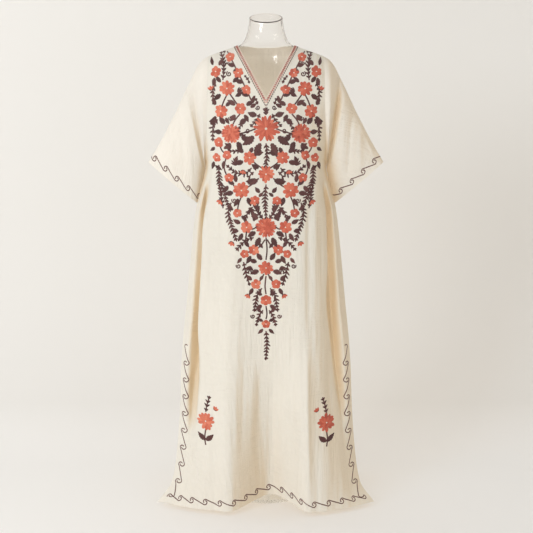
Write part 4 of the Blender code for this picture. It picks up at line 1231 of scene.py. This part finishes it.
# The middle, from the V's point to the tip below the waist
flower(0, 22, 12.5, 18, "long")
flower(0, 66, 8.2, 12)
dahlia(0, 118, 10.0)
flower(0, 158, 7.2, 10, "long")
flower(0, 190, 5.6, 6)
flower(0, 214, 4.4, 5)
MIDDLE_FERNS = (
    ((0, 36), (1, 46), (0, 57)), ((0, 76), (-1, 91), (0, 107)), ((0, 9), (0, 7), (0, 5)),
    ((0, 221), (1, 233), (0, 247)),
)
MIDDLE_STEMS = (
    ((0, 128), (1, 140), (0, 150)), ((0, 166), (-1, 176), (0, 184)), ((0, 196), (1, 204), (0, 209)),
)
for points in MIDDLE_FERNS:
    sprig(points, 5.0)
for points in MIDDLE_STEMS:
    stem(points)

# By each slit: one daisy on a stem with two leaves, a fern over it and a bud
DAISY_ACROSS = 60
DAISY_HEIGHT = 0.27
for side in (1, -1):
    across = side * DAISY_ACROSS
    down = (CHART_TOP - DAISY_HEIGHT) / CHART_SQUARE
    # The right daisy and bud are painted darker and the left ones lighter, the same painted shade.
    flower(across, down, 8.6, 12, "long", 0, 0.52 - 0.12 * side)
    stem([(across, down + 8), (across + side, down + 16), (across, down + 23)])
    sprig([(across, down - 9), (across - side, down - 15), (across - side * 3, down - 22)], 4.4)
    leaf(across, down + 18, side * 52, 10, 3.0, side * 0.5)
    leaf(across, down + 18, -side * 52, 10, 3.0, -side * 0.5)
    bud(across - side * 9, down - 12, -side * 30, 4.2, 0.52 - 0.12 * side)


THREAD_DIFFUSE_SHARE = 0.72


def thread_material(name, dark, middle, light):
    """Stranded cotton with a soft gloss. The tone attribute gives each petal or leaf its dye, with painted
    light and shade.
    """
    material, tree, shader, output = joined_nodes(name)
    tone = add_node(tree, "ShaderNodeAttribute", attribute_name="tone")
    place = add_node(tree, "ShaderNodeUVMap", uv_map="thread").outputs[0]
    fine = {"Vector": place, "Scale": 620.0, "Distortion": 0.8, "Detail": 1.0}
    threads = add_node(tree, "ShaderNodeTexWave", fine)
    streak = stretched_noise(tree, place, (1500, 160, 1), 2.0)
    shift = add_node(tree, "ShaderNodeMath", {0: streak, 1: 0.34, 2: -0.17}, operation="MULTIPLY_ADD")
    total = worked(tree, "ADD", tone.outputs["Fac"], shift.outputs[0])
    ramp = add_node(tree, "ShaderNodeValToRGB", {"Fac": total})
    ramp.color_ramp.elements[0].color = (*dark, 1)
    ramp.color_ramp.elements[1].color = (*light, 1)
    ramp.color_ramp.elements.new(0.5).color = (*middle, 1)
    bump = relief(tree, 0.6, 0.0003, threads.outputs["Fac"])
    tree.links.new(ramp.outputs["Color"], shader.inputs["Base Color"])
    tree.links.new(bump, shader.inputs["Normal"])
    shader.inputs["Roughness"].default_value = 0.62
    shader.inputs["Specular IOR Level"].default_value = 0.3
    shader.inputs["Sheen Weight"].default_value = 0.1
    surface = shader.outputs[0]
    let_light_through(tree, surface, output, THROUGH_COLOUR, THROUGH_SHADOW_SHARE, THREAD_DIFFUSE_SHARE)
    return material


# Dark, middle and light of each thread
THREAD_TINTS = {
    "coral": ((0.36, 0.050, 0.030), (0.60, 0.120, 0.068), (0.80, 0.26, 0.155)),
    "brown": ((0.045, 0.012, 0.012), (0.085, 0.026, 0.025), (0.15, 0.055, 0.048)),
    "white": ((0.80, 0.74, 0.66), (0.88, 0.84, 0.77), (0.92, 0.89, 0.84)),
}
THREADS = {colour: thread_material(colour + " thread", *tints) for colour, tints in THREAD_TINTS.items()}
SHARP_THREAD_ANGLE = math.radians(70)


def thread_piece(name, colour):
    """Makes one piece of all the stitches kept under a colour."""
    kept = stitches.pop(colour)
    obj = mesh_piece(name, kept["points"], kept["faces"], [THREADS[colour.split(" ")[0]]])
    form = bmesh.new()
    form.from_mesh(obj.data)
    bmesh.ops.recalc_face_normals(form, faces=form.faces)
    form.to_mesh(obj.data)
    form.free()
    corners = np.empty(len(obj.data.loops), int)
    obj.data.loops.foreach_get("vertex_index", corners)
    thread_map = obj.data.uv_layers.new(name="thread")
    thread_map.data.foreach_set("uv", np.array(kept["uvs"])[corners].astype(np.float32).ravel())
    dye_and_shade = obj.data.attributes.new("tone", "FLOAT", "POINT")
    dye_and_shade.data.foreach_set("value", np.array(kept["dye_and_shade"], np.float32))
    obj.data.shade_smooth()
    obj.data.set_sharp_from_angle(angle=SHARP_THREAD_ANGLE)
    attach(obj, "root")
    return obj


embroidery = [thread_piece("embroidery_" + colour, colour) for colour in ("coral", "brown", "white")]


# Border: a running line of scrolls in dark brown chain stitch, a finger's width inside the cuffs, the slits
# and the hem. Along the slits the scrolls are taller, because that strip is seen slanted.
SCROLL_SIZE = 0.0092
SCROLL_HALF_WIDTH = 0.0017
SCROLL_LIFT = 0.0009
SCROLL_TONE = 0.75
HEM_END = 0.024
HEM_INSET = 0.023
HEM_PITCH = 0.047
SLIT_END = 0.030
SLIT_INSET = 0.026
SLIT_PITCH = 0.052
SLIT_SCROLL_HEIGHT = 1.5
SLIT_COLUMNS = 40
CUFF_START = 0.016
CUFF_INSET = 0.0215
CUFF_PITCH = 0.048


def ribbon_place(lines, flip=False, ring=False):
    """Points and normals by distance along and in from a grid's first row. Rows run in, columns along."""
    along = run_lengths(lines, 1)[0]
    inward = run_lengths(lines, 0)
    normals = line_normals(lines) * (-1 if flip else 1)

    def place(flat):
        spots = []
        ups = []
        for a, b in flat:
            a = a % along[-1] if ring else a
            column = float(np.interp(a, along, np.arange(len(along))))
            left = min(int(column), len(along) - 2)
            share = column - left
            depth = inward[:, left] + (inward[:, left + 1] - inward[:, left]) * share
            row = float(np.interp(b, depth, np.arange(len(depth))))
            top = min(int(row), len(depth) - 2)
            part = row - top
            corners = (
                (top, left, (1 - part) * (1 - share)),
                (top, left + 1, (1 - part) * share),
                (top + 1, left, part * (1 - share)),
                (top + 1, left + 1, part * share),
            )
            spots.append(sum(lines[r, c] * weight for r, c, weight in corners))
            ups.append(sum(normals[r, c] * weight for r, c, weight in corners))
        ups = np.array(ups)
        return np.array(spots), ups / np.linalg.norm(ups, axis=1, keepdims=True)

    return place, along[-1]


def scroll_line(pitch, size, side):
    """One S of the border: out of one curl, over it, across, under the next curl and into it."""
    over = np.radians(np.linspace(-135, 50, 16))
    over_size = size * np.linspace(0.40, 1.0, 16)
    under = np.radians(np.linspace(222, 0, 18))
    under_size = size * np.linspace(1.0, 0.36, 18)
    first = np.stack((over_size * np.sin(over), side * over_size * np.cos(over)), -1)
    last = np.stack((pitch + under_size * np.sin(under), side * under_size * np.cos(under)), -1)
    run = first[-1] + (last[0] - first[-1]) * np.linspace(0, 1, 9)[1:-1, None]
    return np.vstack((first, run, last))


def scroll_border(lines, start, end, inset, pitch, side=1, flip=False, ring=False, height=1.0):
    """Scrolls along a grid's edge from one distance to another. side is 1 where the line runs over a curl."""
    place, _ = ribbon_place(lines, flip, ring)
    count = max(1, round((end - start) / pitch))
    pitch = (end - start) / count
    for k in range(count):
        line = scroll_line(pitch, SCROLL_SIZE, side) * (1, height) + np.array((start + pitch * k, inset))
        half_widths = np.full(len(line), SCROLL_HALF_WIDTH)
        satin("brown border", place, line, half_widths, SCROLL_LIFT, SCROLL_TONE, unit=1.0)


def panel_border(lines, body_rows):
    """The border of a panel, along its hem and beside both slits. Its lines run from the chest to the hem."""
    hem = lines[::-1]
    scroll_border(hem, HEM_END, run_lengths(hem, 1)[0, -1] - HEM_END, HEM_INSET, HEM_PITCH, flip=True)
    slit_row = round((CHEST_HEIGHT - SLIT_TOP) / (CHEST_HEIGHT - HEM_HEIGHT) * (body_rows - 1))
    for strip, flip in ((lines[slit_row:], True), (lines[slit_row:, ::-1], False)):
        ribbon = np.swapaxes(strip[:, :SLIT_COLUMNS], 0, 1)
        end = run_lengths(ribbon, 1)[0, -1] - SLIT_END
        shape = {"side": -1, "flip": flip, "height": SLIT_SCROLL_HEIGHT}
        scroll_border(ribbon, SLIT_END, end, SLIT_INSET, SLIT_PITCH, **shape)


front_halves = (front_lines[0][0][SHOULDER_ROWS - 1 :], front_lines[1][0][SHOULDER_ROWS - 1 :, 1:])
panel_border(np.concatenate(front_halves, axis=1), FRONT_BODY_ROWS)
for name in ("left", "right"):
    cuff = sleeves[name][1][::-1]
    end = run_lengths(cuff, 1)[0, -1] + CUFF_START
    scroll_border(cuff, CUFF_START, end, CUFF_INSET, CUFF_PITCH, flip=True, ring=True)
panel_border(back_lines[0][BACK_SHOULDER_ROWS - 1 :], BACK_BODY_ROWS)
border = thread_piece("border_scrolls", "brown border")


# Neck tape: a narrow woven tape sewn flat round the V, with two rows of coral stitches and two of brown.
# Below the V's point the rows run on until they meet at the middle.
TAPE_WIDTH = 0.0135
TAPE_THICKNESS = 0.0010
TAPE_TIP_ROWS = np.linspace(0, 0.97, 10)
TAPE_SHOULDER_ROWS = 60
TAPE_SHARES = np.linspace(0, 1, 9)
TAPE_SEARCH_STEPS = 400
TAPE_STITCH_LIFT = 0.0009
V_STEEPNESS = (float(crest_height(NECK_HALF_WIDTH)) - CHEST_HEIGHT) / NECK_HALF_WIDTH


def tape_half(side):
    """Outer points of half the tape, on the front's own surface beside the V and below its tip."""
    fine = np.linspace(0, 0.5, TAPE_SEARCH_STEPS)
    lines = []
    for v in np.concatenate((np.linspace(-1, 0, TAPE_SHOULDER_ROWS)[:-1], TAPE_TIP_ROWS)):
        if v <= 0:
            line = front_line(1, fine, v)
            across = line[0, 0] + TAPE_WIDTH * TAPE_SHARES
        else:
            line = front_line(1, fine, v * TAPE_WIDTH * V_STEEPNESS / (CHEST_HEIGHT - HEM_HEIGHT))
            across = TAPE_WIDTH * TAPE_SHARES * (1 - v)
        spots = np.stack([np.interp(across, line[:, 0], line[:, k]) for k in range(3)], -1)
        spots[:, 0] *= side
        lines.append(spots)
    lines = np.array(lines)
    if side < 0:
        lines = lines[:, ::-1]
    return lines + line_normals(lines) * (TAPE_THICKNESS + SEAM_GAP)


tape_material, tree, shader, _ = joined_nodes("neck tape")
place = add_node(tree, "ShaderNodeUVMap", uv_map="flat cut").outputs[0]
ribbing = {"Vector": place, "Scale": 330.0, "Distortion": 0.6}
ribs = add_node(tree, "ShaderNodeTexWave", ribbing, bands_direction="Y")
slub = stretched_noise(tree, place, (500, 220, 1), 2.0)
ramp = add_node(tree, "ShaderNodeValToRGB", {"Fac": slub})
ramp.color_ramp.elements[0].color = (0.74, 0.66, 0.56, 1)
ramp.color_ramp.elements[1].color = (0.90, 0.86, 0.79, 1)
bump = relief(tree, 0.5, 0.0004, ribs.outputs["Fac"])
tree.links.new(ramp.outputs["Color"], shader.inputs["Base Color"])
tree.links.new(bump, shader.inputs["Normal"])
shader.inputs["Roughness"].default_value = 0.85
tape_grids = []
for side in (-1, 1):
    lines = tape_half(side)
    flat = np.stack((run_lengths(lines, 1), run_lengths(lines, 0)), -1)
    tape_grids.append((lines, flat))
join_halves(tape_grids, TAPE_SHOULDER_ROWS - 1)
tape, tape_tree = cloth_shell("neck_tape", tape_grids, TAPE_THICKNESS, tape_material)
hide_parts("neck_trim")
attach(tape, "root")

# Stitched rows on the tape: distance from the V's edge, stitch length, gap, slant, half width, thread
TAPE_ROWS = (
    (0.0030, 0.0040, 0.0022, 0.0022, 0.0016, "coral tape"),
    (0.0049, 0.0034, 0.0024, 0.0020, 0.0013, "brown tape"),
    (0.0068, 0.0040, 0.0022, -0.0022, 0.0016, "coral tape"),
    (0.0116, 0.0060, 0.0012, 0.0036, 0.0016, "brown tape"),
)


def tape_place(lines, side):
    """Points and normals by distance along and in from the V's edge, which runs on below its point."""
    place, length = ribbon_place(np.swapaxes(lines, 0, 1), flip=side < 0)

    def whole_place(flat):
        spots, ups = place([(min(along, length), inset) for along, inset in flat])
        for k, (along, inset) in enumerate(flat):
            shift = (along - length) / math.hypot(1, V_STEEPNESS)
            if shift > 0:
                height = CHEST_HEIGHT - V_STEEPNESS * shift
                start = Vector((side * max(inset - shift, 0), -CHART_DISTANCE, height))
                spot, up, _, _ = tape_tree.ray_cast(start, Vector((0, 1, 0)))
                if spot is not None:
                    spots[k] = spot
                    ups[k] = up
        return spots, ups

    return whole_place, length


for (lines, _), side in zip(tape_grids, (-1, 1)):
    beside = lines[:TAPE_SHOULDER_ROWS]
    place, length = tape_place(beside[:, ::-1] if side < 0 else beside, side)
    for inset, run, gap, slant, half_width, colour in TAPE_ROWS:
        end = length + inset * math.hypot(1, V_STEEPNESS)
        start = (end - gap / 2) % (run + gap)
        while start + run <= end:
            line = [(start, inset - slant / 2), (start + run / 2, inset), (start + run, inset + slant / 2)]
            half_widths = (half_width * 0.6, half_width, half_width * 0.6)
            satin(colour, place, line, half_widths, TAPE_STITCH_LIFT, 0.5, unit=1.0)
            start += run + gap
tape_threads = [thread_piece("tape_stitches_" + colour, colour + " tape") for colour in ("coral", "brown")]


# Dress form: a limbless torso blown in clear plastic, closed by a clear plate, on a steel pole and a round
# glass base. Its solids are the frame's own, and only their materials are made here.
RIM_TILT = 0.268
RIM_HEIGHT = 1.4535
RIM_RADIUS = 0.0440
RIM_PAINTED_SHADE = (0.86, 0.80, 0.76, 1)
CLEAR_TINT = (0.995, 0.993, 0.990)
SMEAR_ROUGHNESS = 0.02


def clear_material(name, colour, grazing, roughness, ior, rim):
    """Clear plastic or glass, greyer where it is seen along its wall. Light passes it to what lies behind.

    The neck cap's rim is painted darker than the rest of the shell: a painted shade for the dark line along
    the cap's edge.
    """
    material, tree, shader, output = joined_nodes(name)
    shader.inputs["Transmission Weight"].default_value = 1.0
    slant = add_node(tree, "ShaderNodeLayerWeight", {"Blend": 0.30})
    tint = mixed_colour(tree, slant.outputs["Facing"], (*colour, 1), (*grazing, 1))
    place = add_node(tree, "ShaderNodeTexCoord").outputs["Object"]
    # Painted shade on the neck cap's rim.
    if rim:
        tilted = {0: place, 1: (0, -RIM_TILT, 1)}
        height = add_node(tree, "ShaderNodeVectorMath", tilted, operation="DOT_PRODUCT")
        above = worked(tree, "GREATER_THAN", height.outputs["Value"], RIM_HEIGHT)
        level = add_node(tree, "ShaderNodeVectorMath", {0: place, 1: (1, 1, 0)}, operation="MULTIPLY")
        reach = add_node(tree, "ShaderNodeVectorMath", {0: level.outputs[0]}, operation="LENGTH")
        outer = worked(tree, "GREATER_THAN", reach.outputs["Value"], RIM_RADIUS)
        tint = mixed_colour(tree, worked(tree, "MULTIPLY", above, outer), tint, RIM_PAINTED_SHADE)
    tree.links.new(tint, shader.inputs["Base Color"])
    shader.inputs["IOR"].default_value = ior
    shader.inputs["Metallic"].default_value = 0.0
    smear = add_node(tree, "ShaderNodeTexNoise", {"Vector": place, "Scale": 9.0, "Detail": 3.0})
    span = {"From Min": 0.3, "From Max": 0.7, "To Min": roughness, "To Max": roughness + SMEAR_ROUGHNESS}
    gloss = add_node(tree, "ShaderNodeMapRange", {"Value": smear.outputs["Fac"], **span})
    tree.links.new(gloss.outputs[0], shader.inputs["Roughness"])
    let_light_through(tree, shader.outputs[0], output, CLEAR_TINT, 1.0, 1.0)
    return material


def dress_node(name, material):
    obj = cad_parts[name]
    obj.data.materials.clear()
    obj.data.materials.append(material)


# Clear nodes: node, material, colour, colour at grazing sight, roughness, IOR, whether its rim has painted
# shade
CLEAR_NODES = (
    ("form_torso", "clear shell", (0.998, 0.995, 0.988), (0.84, 0.80, 0.76), 0.01, 1.14, True),
    ("form_bottom_plate", "clear plate", (0.99, 0.99, 0.985), (0.86, 0.85, 0.83), 0.04, 1.30, False),
    ("form_base", "base glass", (0.97, 0.98, 0.96), (0.84, 0.87, 0.84), 0.03, 1.30, False),
)
for node, *look in CLEAR_NODES:
    dress_node(node, clear_material(*look))
steel, tree, shader, _ = joined_nodes("brushed steel")
place = add_node(tree, "ShaderNodeTexCoord").outputs["Object"]
brush = stretched_noise(tree, place, (60, 60, 900), 3.0)
gloss = add_node(tree, "ShaderNodeMapRange", {"Value": brush, "To Min": 0.24, "To Max": 0.44})
bump = relief(tree, 0.15, 0.0002, brush)
shader.inputs["Base Color"].default_value = (0.62, 0.61, 0.59, 1)
shader.inputs["Metallic"].default_value = 1.0
tree.links.new(gloss.outputs[0], shader.inputs["Roughness"])
tree.links.new(bump, shader.inputs["Normal"])
dress_node("form_pole", steel)
